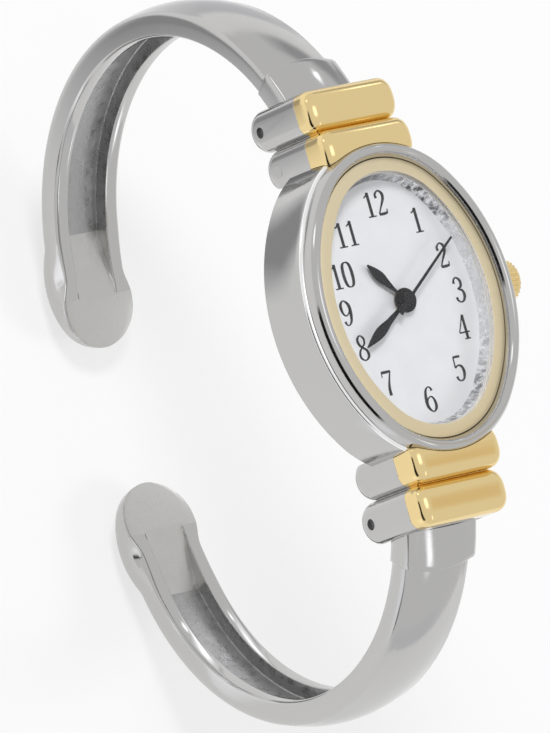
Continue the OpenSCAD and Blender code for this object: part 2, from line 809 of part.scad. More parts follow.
// Cross-section of an arm, with X as the distance from its centre of curve
module arm_section(thicker, wider) {
    half = arm_half + wider;
    top = arm_r + thicker;
    flank = [[arm_in_r, half - rim_bevel], [arm_in_r + rim_bevel / 2, half - rim_bevel / 2],
        [arm_in_r + flank_deep, half], [top - shoulder_h, half], [top - shoulder_h * 0.4, half - shoulder_w * 0.3],
        [top, half - shoulder_w], [top + 2 * arm_crown, half - shoulder_w]];
    intersection() {
        polygon(concat(flank, [for (i = [len(flank) - 1:-1:0]) [flank[i][0], -flank[i][1]]]));
        translate([top + arm_crown - crown_arc_r, 0]) circle(r = crown_arc_r, $fn = 180);
    }
}

// Turns a section about the arm's centre of curve, between two angles from +Y towards +Z
module arm_turned(from, to) {
    translate([0, arm_y, arm_z]) rotate([90, 0, 90]) rotate([0, 0, from])
        rotate_extrude(angle = to - from, $fn = 240) children();
}

// Piece cut from a flat [y, z] outline, centred on x = 0
module across_x(outline, w) {
    translate([-w / 2, 0, 0]) rotate([90, 0, 90]) linear_extrude(w) polygon(outline);
}

// Part of the arm that turns on the pin, inside the lug
module arm_knuckles() {
    heel = knuckle_r - 0.03;
    across_x([[lug_reach + 0.5, pocket_top_z - 0.75], [lug_reach - 1.4, pocket_top_z - 0.55],
        [lug_reach - 2.4, pocket_top_z - 2.1], [outer_bar_y - 1.45, pin_z + 0.4], [outer_bar_y + 0.3, pin_z - heel],
        [lug_reach + 0.5, pin_z + 0.3]], 2 * collar_half);
    translate([0, outer_bar_y, pin_z]) along_x(knuckle_r, 2 * collar_half);
}

// Frame of a tip: Z runs from the rounded end to the arm, the flat face lies at Y = 0 and the metal at Y > 0
module at_tip() {
    translate([0, arm_y, arm_z]) rotate([tip_from, 0, 0]) translate([0, arm_in_r, -tip_l]) children();
}

// Outline of the tip's face, narrowing to a neck towards the arm
module tip_outline(neck_half) {
    side = [[tip_half, tip_half], [tip_half, tip_wide_to], [neck_half, tip_neck_from], [neck_half, tip_body_l]];
    translate([0, tip_half]) circle(r = tip_half);
    polygon(concat(side, [for (i = [3:-1:0]) [-side[i][0], side[i][1]]]));
}

// Upright walls under an outline, from one depth under the flat face to another
module tip_walls(from, to) {
    translate([0, to, 0]) rotate([90, 0, 0]) linear_extrude(to - from) children();
}

// Spoon-shaped end with a flat inner face and an outside that is rounded both ways
module tip() {
    intersection() {
        union() {
            tip_walls(0, tip_t + 1) tip_outline(tip_neck_half);
            tip_walls(tip_side_deep, tip_t + 1) tip_outline(tip_half);
        }
        translate([0, tip_t - tip_bulge_r, tip_bulge_at]) rotate([0, 90, 0]) rotate_extrude() intersection() {
            polygon([[0, -tip_half - 0.1], [tip_bulge_r - tip_bulge_edge, -tip_half - 0.1],
                [tip_bulge_r, 1 - tip_half], [tip_bulge_r, tip_half - 1],
                [tip_bulge_r - tip_bulge_edge, tip_half + 0.1], [0, tip_half + 0.1]]);
            translate([tip_bulge_r - tip_crown_r, 0]) circle(r = tip_crown_r);
        }
    }
}

// Straight stretch of the arm that the tip grows from
module tip_stem() {
    translate([0, 0, tip_l]) rotate([180, 0, 90]) linear_extrude(tip_l - stem_from)
        translate([-arm_in_r, 0]) arm_section(0, 0);
}

// Slope from the channel up to the flat face, ending one small step above the channel's floor
module ramp_cut() {
    step = 0.05;
    lap = 0.4;
    open_y = -2;
    top_r = arm_in_r + channel_depth - step;
    top_y = top_r * cos(ramp_angle + lap) - arm_in_r;
    top_z = tip_l + top_r * sin(ramp_angle + lap);
    across_x([[0, ramp_foot], [top_y, top_z], [open_y, top_z], [open_y, ramp_foot]], channel_w);
}

module arm() {
    color("silver") difference() {
        union() {
            arm_turned(tip_from, collar_from + 1) arm_section(0, 0);
            arm_turned(collar_from, collar_to) arm_section(collar_t, collar_half - arm_half);
            arm_knuckles();
            at_tip() {
                tip();
                tip_stem();
            }
        }
        arm_turned(tip_from + ramp_angle, channel_to)
            translate([arm_in_r - 2, -channel_w / 2]) square([2 + channel_depth, channel_w]);
        at_tip() ramp_cut();
        translate([0, outer_bar_y, pin_z]) {
            along_x(bore_r, past);
            along_x(spring_slot_r, spring_slot_w);
        }
    }
}

module upper_arm() {
    arm();
}

module lower_arm() {
    lower() arm();
}

module hinge_pin() {
    color("gray") translate([0, outer_bar_y, pin_z]) along_x(pin_r, pin_l);
}

module upper_hinge_pin() {
    hinge_pin();
}

module lower_hinge_pin() {
    lower() hinge_pin();
}

function spring_point(t) = [
    (t - 0.5) * spring_turns * spring_pitch,
    spring_r * cos(180 + 360 * spring_turns * t),
    spring_r * sin(180 + 360 * spring_turns * t)
];

function unit(v) = v / norm(v);

// Round wire swept along a list of points
module wire(points, r) {
    sides = 6;
    n = len(points);
    ring = [for (i = [0:n - 1])
        let (
            t = unit(points[min(i + 1, n - 1)] - points[max(i - 1, 0)]),
            a = unit(cross(t, [1, 0, 0])),
            b = cross(t, a)
        )
        for (k = [0:sides - 1]) points[i] + r * (cos(60 * k) * a + sin(60 * k) * b)];
    walls = [for (i = [0:n - 2]) for (k = [0:sides - 1])
        let (a = i * sides + k, b = i * sides + (k + 1) % sides)
        each [[a, a + sides, b], [b, a + sides, b + sides]]];
    ends = [[for (k = [0:sides - 1]) k], [for (k = [sides - 1:-1:0]) (n - 1) * sides + k]];
    polyhedron(points = ring, faces = concat(walls, ends));
}

module hinge_spring() {
    steps = 52;
    leg = 1.3;
    first = spring_point(0);
    last = spring_point(1);
    route = concat([first + [0, 0, leg]], [for (i = [0:steps]) spring_point(i / steps)],
        [last + [0, leg, 0]]);
    color("dimgray") translate([0, outer_bar_y, pin_z]) wire(route, spring_wire_r);
}

module upper_hinge_spring() {
    hinge_spring();
}

module lower_hinge_spring() {
    lower() hinge_spring();
}

case();
upper_lug_cap();
lower_lug_cap();
bezel_ring();
crystal();
crystal_gasket();
rehaut();
dial();
hour_hand();
minute_hand();
second_hand();
crown();
crown_stem();
crown_tube();
crown_gasket();
caseback();
caseback_gasket();
movement_ring();
main_plate();
train_bridge();
battery();
battery_clamp();
circuit_board();
quartz_can();
coil();
stator();
rotor();
intermediate_wheel();
third_wheel();
seconds_wheel();
center_wheel();
minute_wheel();
hour_wheel();
setting_lever();
upper_arm();
lower_arm();
upper_hinge_pin();
lower_hinge_pin();
upper_hinge_spring();
lower_hinge_spring();
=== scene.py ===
import json
import math

import bmesh
import bpy
from mathutils import Matrix, Vector


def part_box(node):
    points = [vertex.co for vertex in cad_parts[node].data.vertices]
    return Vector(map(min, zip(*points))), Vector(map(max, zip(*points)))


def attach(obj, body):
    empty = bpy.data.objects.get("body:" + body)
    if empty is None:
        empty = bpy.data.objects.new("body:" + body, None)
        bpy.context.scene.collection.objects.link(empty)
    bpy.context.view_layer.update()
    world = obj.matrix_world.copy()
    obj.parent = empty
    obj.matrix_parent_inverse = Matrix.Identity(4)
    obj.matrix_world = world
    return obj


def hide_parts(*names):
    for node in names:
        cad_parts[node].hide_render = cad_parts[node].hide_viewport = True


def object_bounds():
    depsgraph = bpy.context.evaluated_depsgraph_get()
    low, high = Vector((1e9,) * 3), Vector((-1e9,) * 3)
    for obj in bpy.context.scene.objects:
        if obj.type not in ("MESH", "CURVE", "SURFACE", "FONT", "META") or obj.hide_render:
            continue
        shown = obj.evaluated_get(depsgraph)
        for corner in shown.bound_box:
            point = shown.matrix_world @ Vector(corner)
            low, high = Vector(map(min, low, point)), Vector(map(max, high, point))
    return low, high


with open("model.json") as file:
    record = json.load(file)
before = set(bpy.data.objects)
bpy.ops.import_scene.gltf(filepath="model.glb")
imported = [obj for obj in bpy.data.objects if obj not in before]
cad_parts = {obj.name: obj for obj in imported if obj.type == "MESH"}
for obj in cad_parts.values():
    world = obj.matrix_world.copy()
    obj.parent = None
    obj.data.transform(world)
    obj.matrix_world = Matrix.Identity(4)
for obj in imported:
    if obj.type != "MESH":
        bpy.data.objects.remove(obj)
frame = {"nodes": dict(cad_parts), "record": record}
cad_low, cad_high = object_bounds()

# Lengths are millimetres until a mesh is made.
# +Z points out of the dial, +Y to 12 o'clock and +X to 3 o'clock.
MM = 0.001


def top_of(node):
    """Height of a CAD node's highest point, in millimetres."""
    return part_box(node)[1].z / MM


# The bezel's oval: two end arcs and two side arcs that meet smoothly
CASE_W = 21.4
CASE_L = 27.5
END_R = 9.0
OVAL_D = (CASE_L - CASE_W) / 2
END_CENTRE = CASE_L / 2 - END_R
SIDE_CENTRE = OVAL_D * (2 * END_CENTRE - OVAL_D) / (2 * (END_CENTRE - OVAL_D))
SIDE_R = CASE_W / 2 + SIDE_CENTRE
JOIN_ANGLE = math.atan2(END_CENTRE, SIDE_CENTRE)

DIAL_Z = top_of("dial")
CREST_Z = DIAL_Z + 2.55


def oval_point(angle, u):
    """Point on the oval that lies u outside the bezel's, where its wall faces the given direction."""
    c, s = math.cos(angle), math.sin(angle)
    if abs(s) < math.sin(JOIN_ANGLE):
        return (SIDE_R + u) * c - math.copysign(SIDE_CENTRE, c), (SIDE_R + u) * s
    return (END_R + u) * c, math.copysign(END_CENTRE, s) + (END_R + u) * s


# Shader node groups, and the nodes that they and the materials are built from


def new_group(name, inputs, outputs):
    """Empty shader node group with its named sockets, and its input and output nodes."""
    group = bpy.data.node_groups.new(name, "ShaderNodeTree")
    for label, kind, value in inputs:
        socket = group.interface.new_socket(name=label, in_out="INPUT", socket_type=kind)
        if value is not None:
            socket.default_value = value
    for label, kind in outputs:
        group.interface.new_socket(name=label, in_out="OUTPUT", socket_type=kind)
    return group, group.nodes.new("NodeGroupInput"), group.nodes.new("NodeGroupOutput")


def noise(tree, vector, scale, detail=3.0, roughness=0.5):
    """Noise value at a vector. The scale is a number or another node's output."""
    node = tree.nodes.new("ShaderNodeTexNoise")
    node.inputs["Detail"].default_value = detail
    node.inputs["Roughness"].default_value = roughness
    tree.links.new(vector, node.inputs["Vector"])
    if isinstance(scale, (int, float)):
        node.inputs["Scale"].default_value = scale
    else:
        tree.links.new(scale, node.inputs["Scale"])
    return node.outputs["Fac"]


def remap(tree, value, low, high, to_low, to_high):
    """Value moved from one range to another, whose ends are numbers or other nodes' outputs."""
    node = tree.nodes.new("ShaderNodeMapRange")
    tree.links.new(value, node.inputs["Value"])
    node.inputs["From Min"].default_value = low
    node.inputs["From Max"].default_value = high
    for socket, v in (("To Min", to_low), ("To Max", to_high)):
        if isinstance(v, (int, float)):
            node.inputs[socket].default_value = v
        else:
            tree.links.new(v, node.inputs[socket])
    return node.outputs["Result"]


def math_node(tree, operation, a, b=0.0):
    """Result of a sum on numbers or other nodes' outputs."""
    node = tree.nodes.new("ShaderNodeMath")
    node.operation = operation
    for i, v in enumerate((a, b)):
        if isinstance(v, (int, float)):
            node.inputs[i].default_value = v
        else:
            tree.links.new(v, node.inputs[i])
    return node.outputs["Value"]


def mix_colour(tree, factor, a, b):
    """Colour between two, each given as numbers or as another node's output."""
    node = tree.nodes.new("ShaderNodeMix")
    node.data_type = "RGBA"
    tree.links.new(factor, node.inputs["Factor"])
    for socket, v in (("A", a), ("B", b)):
        target = next(s for s in node.inputs if s.name == socket and s.type == "RGBA")
        if isinstance(v, (tuple, list)):
            target.default_value = (*v, 1.0)
        else:
            tree.links.new(v, target)
    return next(s for s in node.outputs if s.type == "RGBA")


def make_polish():
    """Handled polish: faint smears that change the gloss, and a slow ripple left by the buffing wheel."""
    group, inp, out = new_group(
        "polish",
        [
            ("Vector", "NodeSocketVector", None),
            ("Smooth", "NodeSocketFloat", 0.06),
            ("Dull", "NodeSocketFloat", 0.12),
        ],
        [("Roughness", "NodeSocketFloat"), ("Ripple", "NodeSocketFloat")],
    )
    vector = inp.outputs["Vector"]
    smear = noise(group, vector, 420.0, 5.0, 0.62)
    fine = noise(group, vector, 2600.0, 3.0)
    both = math_node(group, "MULTIPLY", smear, fine)
    gloss = remap(group, both, 0.12, 0.42, inp.outputs["Smooth"], inp.outputs["Dull"])
    group.links.new(gloss, out.inputs["Roughness"])
    group.links.new(noise(group, vector, 160.0, 2.0), out.inputs["Ripple"])
    return group


def make_brushing():
    """Fine streaks that run the way their vector is stretched."""
    group, inp, out = new_group(
        "brushing",
        [("Vector", "NodeSocketVector", None), ("Fine", "NodeSocketFloat", 3000.0)],
        [("Streaks", "NodeSocketFloat")],
    )
    streaks = noise(group, inp.outputs["Vector"], inp.outputs["Fine"], 4.0, 0.6)
    group.links.new(streaks, out.inputs["Streaks"])
    return group


POLISH = make_polish()
BRUSHING = make_brushing()


class Finish:
    """A material with its Principled shader, and short ways to feed it from noise."""

    def __init__(self, name, colour, metallic=0.0, roughness=0.4):
        self.name = name
        self.material = bpy.data.materials.new(name)
        self.material.use_nodes = True
        self.tree = self.material.node_tree
        self.shader = self.tree.nodes["Principled BSDF"]
        self.place = self.tree.nodes.new("ShaderNodeTexCoord").outputs["Object"]
        self.set(Base_Color=(*colour, 1.0), Metallic=metallic, Roughness=roughness)

    def set(self, **values):
        """Sets the shader's own sockets, each written with _ for the spaces in its name."""
        for name, value in values.items():
            self.shader.inputs[name.replace("_", " ")].default_value = value
        return self

    def feed(self, socket, value):
        """Links a value that changes over the surface to one of the shader's sockets."""
        self.tree.links.new(value, self.shader.inputs[socket])
        return self

    def stretched(self, x, y, z):
        """The surface's own coordinates, scaled along each axis."""
        node = self.tree.nodes.new("ShaderNodeMapping")
        node.inputs["Scale"].default_value = (x, y, z)
        self.tree.links.new(self.place, node.inputs["Vector"])
        return node.outputs["Vector"]

    def group(self, group, vector=None, **values):
        """A shared node group, placed in this material with its own values."""
        node = self.tree.nodes.new("ShaderNodeGroup")
        node.node_tree = group
        self.tree.links.new(vector or self.place, node.inputs["Vector"])
        for name, value in values.items():
            node.inputs[name].default_value = value
        return node

    def bump(self, height, distance, strength, edge=0.0):
        """Surface relief, and with an edge radius a softened sharp edge too. Both are in millimetres."""
        node = self.tree.nodes.new("ShaderNodeBump")
        if edge:
            soft = self.tree.nodes.new("ShaderNodeBevel")
            soft.samples = 6
            soft.inputs["Radius"].default_value = edge * MM
            self.tree.links.new(soft.outputs["Normal"], node.inputs["Normal"])
        node.inputs["Distance"].default_value = distance * MM
        node.inputs["Strength"].default_value = strength
        self.tree.links.new(height, node.inputs["Height"])
        return self.feed("Normal", node.outputs["Normal"])


# Depths of the relief, the radius of a softened edge, and where the foil band's painted dark reflection
# starts and where it is full
RIPPLE_DEPTH = 0.012
GRAIN_DEPTH = 0.01
CAST_DEPTH = 0.09
FOIL_DEPTH = 0.3
SOFT_EDGE = 0.09
DARK_REFLECTION_FROM_Y = 7.2
DARK_REFLECTION_FULL_Y = 8.6
DARK_REFLECTION_FROM_X = 3.0
DARK_REFLECTION_FULL_X = -1.0

# The crystal bends light less than real glass, so that the dial looks as deep as the photographed one
CRYSTAL_IOR = 1.3


def polished(name, colour, smooth, dull):
    """Polished metal with its roughness between smooth and dull."""
    f = Finish(name, colour, metallic=1.0)
    polish = f.group(POLISH, Smooth=smooth, Dull=dull)
    f.feed("Roughness", polish.outputs["Roughness"])
    return f.bump(polish.outputs["Ripple"], RIPPLE_DEPTH, 0.4, edge=SOFT_EDGE)


def plain(name, colour, roughness, grain, metallic=0.0):
    """Moulded, cut, plated or printed surface with a fine grain in its gloss and height."""
    f = Finish(name, colour, metallic)
    fine = noise(f.tree, f.place, grain, 4.0, 0.6)
    f.feed("Roughness", remap(f.tree, fine, 0.3, 0.7, roughness * 0.8, min(1.0, roughness * 1.25)))
    return f.bump(fine, GRAIN_DEPTH, 0.3)


def cast_steel():
    """Inside of the channel: plated over the rough casting, with a fine orange-peel grain."""
    f = Finish("cast_steel", (0.4, 0.4, 0.4), metallic=1.0)
    lump = noise(f.tree, f.place, 900.0, 3.0, 0.6)
    grain = noise(f.tree, f.place, 4200.0, 4.0, 0.65)
    f.feed("Base Color", mix_colour(f.tree, lump, (0.26, 0.26, 0.26), (0.56, 0.56, 0.56)))
    f.feed("Roughness", remap(f.tree, lump, 0.35, 0.65, 0.22, 0.42))
    both = math_node(f.tree, "ADD", lump, math_node(f.tree, "MULTIPLY", grain, 0.35))
    return f.bump(both, CAST_DEPTH, 0.7)


def foil_silver():
    """Bright plated band round the dial, crinkled like foil, with dull patches and a painted dark
    reflection at its end near 12.
    """
    f = Finish("brushed_silver", (0.9, 0.9, 0.91), metallic=1.0)
    patch = remap(f.tree, noise(f.tree, f.place, 170.0, 2.0), 0.4, 0.62, 0.1, 1.0)
    streaks = f.group(BRUSHING, f.stretched(1.0, 1.0, 0.45), Fine=2300.0).outputs["Streaks"]
    speck = remap(f.tree, streaks, 0.42, 0.6, 0.0, 1.0)
    mask = math_node(f.tree, "MULTIPLY", speck, patch)
    crinkled = mix_colour(f.tree, mask, (0.93, 0.93, 0.94), (0.06, 0.06, 0.065))
    # Painted dark reflection: the band's colour darkens towards 12 o'clock and towards 9
    split = f.tree.nodes.new("ShaderNodeSeparateXYZ")
    f.tree.links.new(f.place, split.inputs["Vector"])
    toward_12 = remap(f.tree, split.outputs["Y"], DARK_REFLECTION_FROM_Y * MM, DARK_REFLECTION_FULL_Y * MM, 0.0, 1.0)
    toward_9 = remap(f.tree, split.outputs["X"], DARK_REFLECTION_FROM_X * MM, DARK_REFLECTION_FULL_X * MM, 0.0, 0.85)
    painted_reflection = math_node(f.tree, "MULTIPLY", toward_12, toward_9)
    f.feed("Base Color", mix_colour(f.tree, painted_reflection, crinkled, (0.11, 0.11, 0.115)))
    f.feed("Roughness", remap(f.tree, streaks, 0.35, 0.65, 0.05, 0.2))
    return f.bump(streaks, FOIL_DEPTH, 0.9)


def dial_silver():
    """Silver-white dial with a slow cloud in its tone and a fine grain."""
    f = Finish("dial_silver", (0.8, 0.81, 0.84))
    cloud = noise(f.tree, f.place, 350.0, 2.0)
    f.feed("Base Color", mix_colour(f.tree, cloud, (0.76, 0.77, 0.81), (0.85, 0.86, 0.88)))
    grain = noise(f.tree, f.place, 3500.0, 3.0)
    f.feed("Roughness", remap(f.tree, grain, 0.3, 0.7, 0.3, 0.42))
    return f.bump(grain, GRAIN_DEPTH / 2, 0.2)


def crystal_glass():
    """Clear crystal. Shadow and diffuse rays pass straight through it, so it doesn't dim the dial."""
    f = Finish("crystal_glass", (1.0, 1.0, 1.0), roughness=0.0)
    f.set(IOR=CRYSTAL_IOR, Transmission_Weight=1.0)
    dust = noise(f.tree, f.place, 900.0, 2.0)
    f.feed("Roughness", remap(f.tree, dust, 0.4, 0.8, 0.0, 0.02))
    path = f.tree.nodes.new("ShaderNodeLightPath")
    straight = [path.outputs[kind] for kind in ("Is Shadow Ray", "Is Diffuse Ray")]
    clear = f.tree.nodes.new("ShaderNodeBsdfTransparent")
    blend = f.tree.nodes.new("ShaderNodeMixShader")
    f.tree.links.new(math_node(f.tree, "MAXIMUM", *straight), blend.inputs["Fac"])
    f.tree.links.new(f.shader.outputs["BSDF"], blend.inputs[1])
    f.tree.links.new(clear.outputs["BSDF"], blend.inputs[2])
    f.tree.links.new(blend.outputs["Shader"], f.tree.nodes["Material Output"].inputs["Surface"])
    return f


def make_finishes():
    """Every finish by its name. Most are named after the CAD model's material slots."""
    made = [
        polished("polished_steel", (0.54, 0.535, 0.53), 0.06, 0.14),
        # Lighter copy of the polished steel for the case's ledge: a painted highlight line
        polished("painted_highlight_steel", (0.97, 0.97, 0.97), 0.1, 0.2),
        polished("gold_plate", (0.87, 0.68, 0.34), 0.08, 0.16),
        plain("pale_gold", (0.82, 0.715, 0.49), 0.4, 1800.0, metallic=1.0),
        plain("satin_steel", (0.58, 0.575, 0.56), 0.3, 900.0, metallic=1.0),
        plain("dark_steel", (0.12, 0.12, 0.12), 0.3, 2500.0, metallic=1.0),
        plain("inner_steel", (0.5, 0.5, 0.51), 0.3, 2500.0, metallic=1.0),
        plain("movement_brass", (0.78, 0.56, 0.24), 0.28, 2500.0, metallic=1.0),
        plain("coil_copper", (0.75, 0.3, 0.12), 0.35, 5000.0, metallic=1.0),
        plain("magnet_black", (0.05, 0.05, 0.055), 0.45, 2500.0, metallic=0.6),
        plain("seal_rubber", (0.02, 0.02, 0.02), 0.7, 3000.0),
        plain("seal_nylon", (0.8, 0.8, 0.81), 0.35, 3000.0),
        plain("holder_plastic", (0.72, 0.72, 0.69), 0.5, 1500.0),
        plain("board_green", (0.02, 0.16, 0.05), 0.4, 1800.0),
        plain("hand_black", (0.014, 0.014, 0.016), 0.35, 1500.0).set(Specular_IOR_Level=0.12),
        plain("numeral_ink", (0.022, 0.022, 0.025), 0.4, 2500.0).set(Specular_IOR_Level=0.3),
        cast_steel(),
        foil_silver(),
        dial_silver(),
        crystal_glass(),
    ]
    return {f.name: f.material for f in made}


FINISHES = make_finishes()

# The seal under the crystal is pale nylon, and the pins' ends are dark steel, painted shade for the shadow
# in the holes they sit in
NODE_FINISH = {
    "crystal_gasket": "seal_nylon",
    "upper_hinge_pin": "dark_steel",
    "lower_hinge_pin": "dark_steel",
}


def dress_cad_nodes():
    """Gives every CAD node the finish of its material slot, or its own."""
    for part in frame["record"]["subparts"]:
        mesh = frame["nodes"][part["node"]].data
        mesh.materials.clear()
        mesh.materials.append(FINISHES[NODE_FINISH.get(part["node"], part["material_slot"])])


# Bangle arms. A section point is (x, d): x across the arm and d outward from its inner rim
ARM_R = 21.2
ARM_T = 2.25
ARM_IN_R = ARM_R - ARM_T
ARM_HALF = 3.7
ARM_CROWN = 0.55
SHOULDER_W = 0.65
SHOULDER_DROP = 0.6
CROWN_HALF = ARM_HALF - SHOULDER_W
RIM_BEVEL = 0.3
COLLAR_T = 0.6
COLLAR_WIDER = 0.25
COLLAR_FROM = 58.0
COLLAR_TO = 66.0
COLLAR_BOW = 0.8
COLLAR_BOW_SPAN = 3.0
COLLAR_BOW_HALF = 4.0
CHANNEL_HALF = 2.1
CHANNEL_DEPTH = 1.45
CHANNEL_TO = 62.0
TIP_FROM = -78.5
TIP_L = 8.7
TIP_HALF = 3.9
TIP_T = 4.1
TIP_BULGE_R = 7.6
TIP_BULGE_AT = 6.4
TIP_CROWN_R = 6.2
TIP_EDGE_DROP = 0.35
TIP_WIDE_TO = 4.3
TIP_NECK_FROM = 6.8
TIP_NECK_HALF = 3.35
TIP_ENDS_AT = 10.7
RAMP_FOOT = 4.6
RAMP_TOP = 10.3
PIN_Y = 17.775
PIN_Z = -0.3
PIN_HOLE_R = 0.5
KNUCKLE_R = 1.5
KNUCKLE_BORE_R = 0.53
KNUCKLE_BORE_HALF = 6.0
SPRING_SLOT_R = 1.75
SPRING_SLOT_HALF = 1.5
LUG_REACH = 19.7
POCKET_TOP_Z = PIN_Z + 4.6
ARM_STARTS_Y = LUG_REACH + 0.02
ARM_STARTS_Z = PIN_Z + 2.97
ARM_Y = ARM_STARTS_Y - ARM_R * math.cos(math.radians(COLLAR_TO))
ARM_Z = ARM_STARTS_Z - ARM_R * math.sin(math.radians(COLLAR_TO))

# Steps between an arm's sections, in millimetres on the tip and in degrees on the curve.
# The collar grows over a few degrees, each given with its share of the full collar
TIP_END = 0.012
TIP_ROUND_STEPS = 14
TIP_STEP = 0.25
NECK_TURN = 0.7
ARM_TURN = 1.8
COLLAR_GROWTH = (
    (-0.9, 0.0), (-0.35, 0.0), (-0.15, 0.06), (0.0, 0.75), (0.15, 0.95), (0.4, 1.0), (1.2, 1.0), (2.5, 1.0)
)


def smooth_step(a, b, x):
    t = min(1.0, max(0.0, (x - a) / (b - a)))
    return t * t * (3 - 2 * t)


def smooth_max(a, b, soft):
    h = max(soft - abs(a - b), 0.0) / soft
    return max(a, b) + h * h * soft / 4


def mix(a, b, t):
    return a + (b - a) * t


def arm_back(x):
    """Depth of the arm's crowned back at a distance x from its middle."""
    r = (CROWN_HALF ** 2 + ARM_CROWN ** 2) / (2 * ARM_CROWN)
    x = abs(x)
    if x <= CROWN_HALF:
        return ARM_T + ARM_CROWN - r + math.sqrt(r * r - x * x)
    t = min(1.0, (x - CROWN_HALF) / SHOULDER_W)
    return ARM_T - SHOULDER_DROP * (1 - math.sqrt(1 - t * t))


def tip_back(x, s):
    """Depth of the tip's rounded outside at x from its middle and s from its rounded end."""
    x = min(abs(x), TIP_HALF)
    r = TIP_BULGE_R - TIP_CROWN_R + math.sqrt(TIP_CROWN_R ** 2 - x * x)
    r -= TIP_EDGE_DROP * (x / TIP_HALF) ** 6
    return TIP_T - TIP_BULGE_R + math.sqrt(max(r * r - (s - TIP_BULGE_AT) ** 2, 0.01))


def ramp_floor(s):
    """Depth of the channel's floor at s from the tip's rounded end, where it ramps up to the pad."""
    return CHANNEL_DEPTH * min(1.0, max(0.0, (s - RAMP_FOOT) / (RAMP_TOP - RAMP_FOOT)))


# Shares of the channel's half width, each with its rise, and of the arm's half width for its back
FLOOR_PARTS = ((0.0, 0.0), (0.5, 0.0), (0.9, 0.0), (0.97, 0.04), (1.0, 0.14))
BACK_EDGE = 0.985
BACK_PARTS = (0.95, 0.88, 0.8, 0.7, 0.58, 0.45, 0.3, 0.15, 0.0)


def arm_section(wider, thicker, floor, s=None):
    """Half a section, from the middle of the channel's floor round to the middle of the back.

    With s the section is on the tip, that far from its rounded end.
    """
    side = ARM_HALF + wider
    rim = side - RIM_BEVEL
    inner = CHANNEL_HALF
    on_tip = 0.0
    if s is not None:
        end_half = math.sqrt(max(TIP_HALF ** 2 - max(TIP_HALF - s, 0.0) ** 2, 0.0))
        to_arm = smooth_step(TIP_NECK_FROM, TIP_ENDS_AT, s)
        rim = mix(end_half, TIP_NECK_HALF, smooth_step(TIP_WIDE_TO, TIP_NECK_FROM, s))
        rim = mix(rim, ARM_HALF - RIM_BEVEL, to_arm)
        side = mix(end_half, ARM_HALF, smooth_step(TIP_NECK_FROM, TIP_ENDS_AT - 1, s))
        inner = min(CHANNEL_HALF, 0.6 * rim)
        on_tip = 1 - to_arm

    def back(x):
        if s is None:
            return thicker + arm_back(x * ARM_HALF / side)
        if s < TIP_WIDE_TO:
            return tip_back(x, s)
        return smooth_max(tip_back(x, s), arm_back(x * ARM_HALF / side), 0.2)

    small = min(1.0, rim)
    flat_to = rim - 0.3 * small
    points = [(inner * a, max(floor - b * small, 0.0)) for a, b in FLOOR_PARTS]
    points += [
        (inner, min(0.1, floor)),
        (inner + 0.03 * small, min(0.03, floor)),
        (inner + 0.1 * small, 0.0),
        (mix(inner, flat_to, 0.5), 0.0),
        (flat_to, 0.0),
        (rim - 0.14 * small, 0.02),
    ]
    edge = back(side * BACK_EDGE)
    top = edge - min(0.3, 0.3 * edge)
    slim = [
        (rim + 0.02 * small, 0.08),
        (side - 0.15, 0.2),
        (side - 0.1, 0.5),
        (side - 0.03, 1.1),
        (side, mix(1.1, top, 0.5)),
        (side, top),
    ]
    full = [
        (rim - 0.03 * small, 0.1),
        (mix(rim, side, 0.15), mix(0.1, top, 0.14)),
        (mix(rim, side, 0.62), mix(0.07, top, 0.34)),
        (mix(rim, side, 0.93), mix(0.07, top, 0.5)),
        (side, mix(0.07, top, 0.7)),
        (side, top),
    ]
    points += [(mix(a, b, on_tip), mix(c, d, on_tip)) for (a, c), (b, d) in zip(slim, full)]
    points.append((side * BACK_EDGE, edge))
    points += [(side * k, back(side * k)) for k in BACK_PARTS]
    return points


def arm_stations():
    """Sections along an arm, each with its angle and how far it lies past the arm's curve."""
    turns = [math.pi / 2 * i / TIP_ROUND_STEPS for i in range(1, TIP_ROUND_STEPS)]
    rounded = [TIP_HALF * (1 - math.cos(a)) for a in turns]
    straight = [TIP_HALF + TIP_STEP * i for i in range(int((TIP_L - TIP_HALF) / TIP_STEP))]
    along = [TIP_END] + rounded + straight
    out = [(TIP_FROM, TIP_L - s, arm_section(0.0, 0.0, ramp_floor(s), s)) for s in along]
    angle = TIP_FROM + 0.6
    while angle < COLLAR_FROM - 1.6:
        s = TIP_L + (ARM_R - ARM_T / 2) * math.radians(angle - TIP_FROM)
        on_tip = s < TIP_ENDS_AT
        out.append((angle, 0.0, arm_section(0.0, 0.0, ramp_floor(s), s if on_tip else None)))
        angle += NECK_TURN if on_tip else ARM_TURN
    for past, grown in COLLAR_GROWTH:
        section = arm_section(COLLAR_WIDER * grown, COLLAR_T * grown, CHANNEL_DEPTH)
        out.append((COLLAR_FROM + past, 0.0, section))
    out.append((CHANNEL_TO - 0.3, 0.0, arm_section(COLLAR_WIDER, COLLAR_T, CHANNEL_DEPTH)))
    for angle in (CHANNEL_TO, CHANNEL_TO + 1.5, COLLAR_TO, COLLAR_TO + 1.3):
        out.append((angle, 0.0, arm_section(COLLAR_WIDER, COLLAR_T, 0.0)))
    return out


# An arm's finishes by their place in its mesh, and how many points past the floor the pad's satin reaches
ARM_FINISHES = ("polished_steel", "cast_steel", "satin_steel")
POLISHED, CAST, SATIN = range(3)
PAD_POINTS = 4


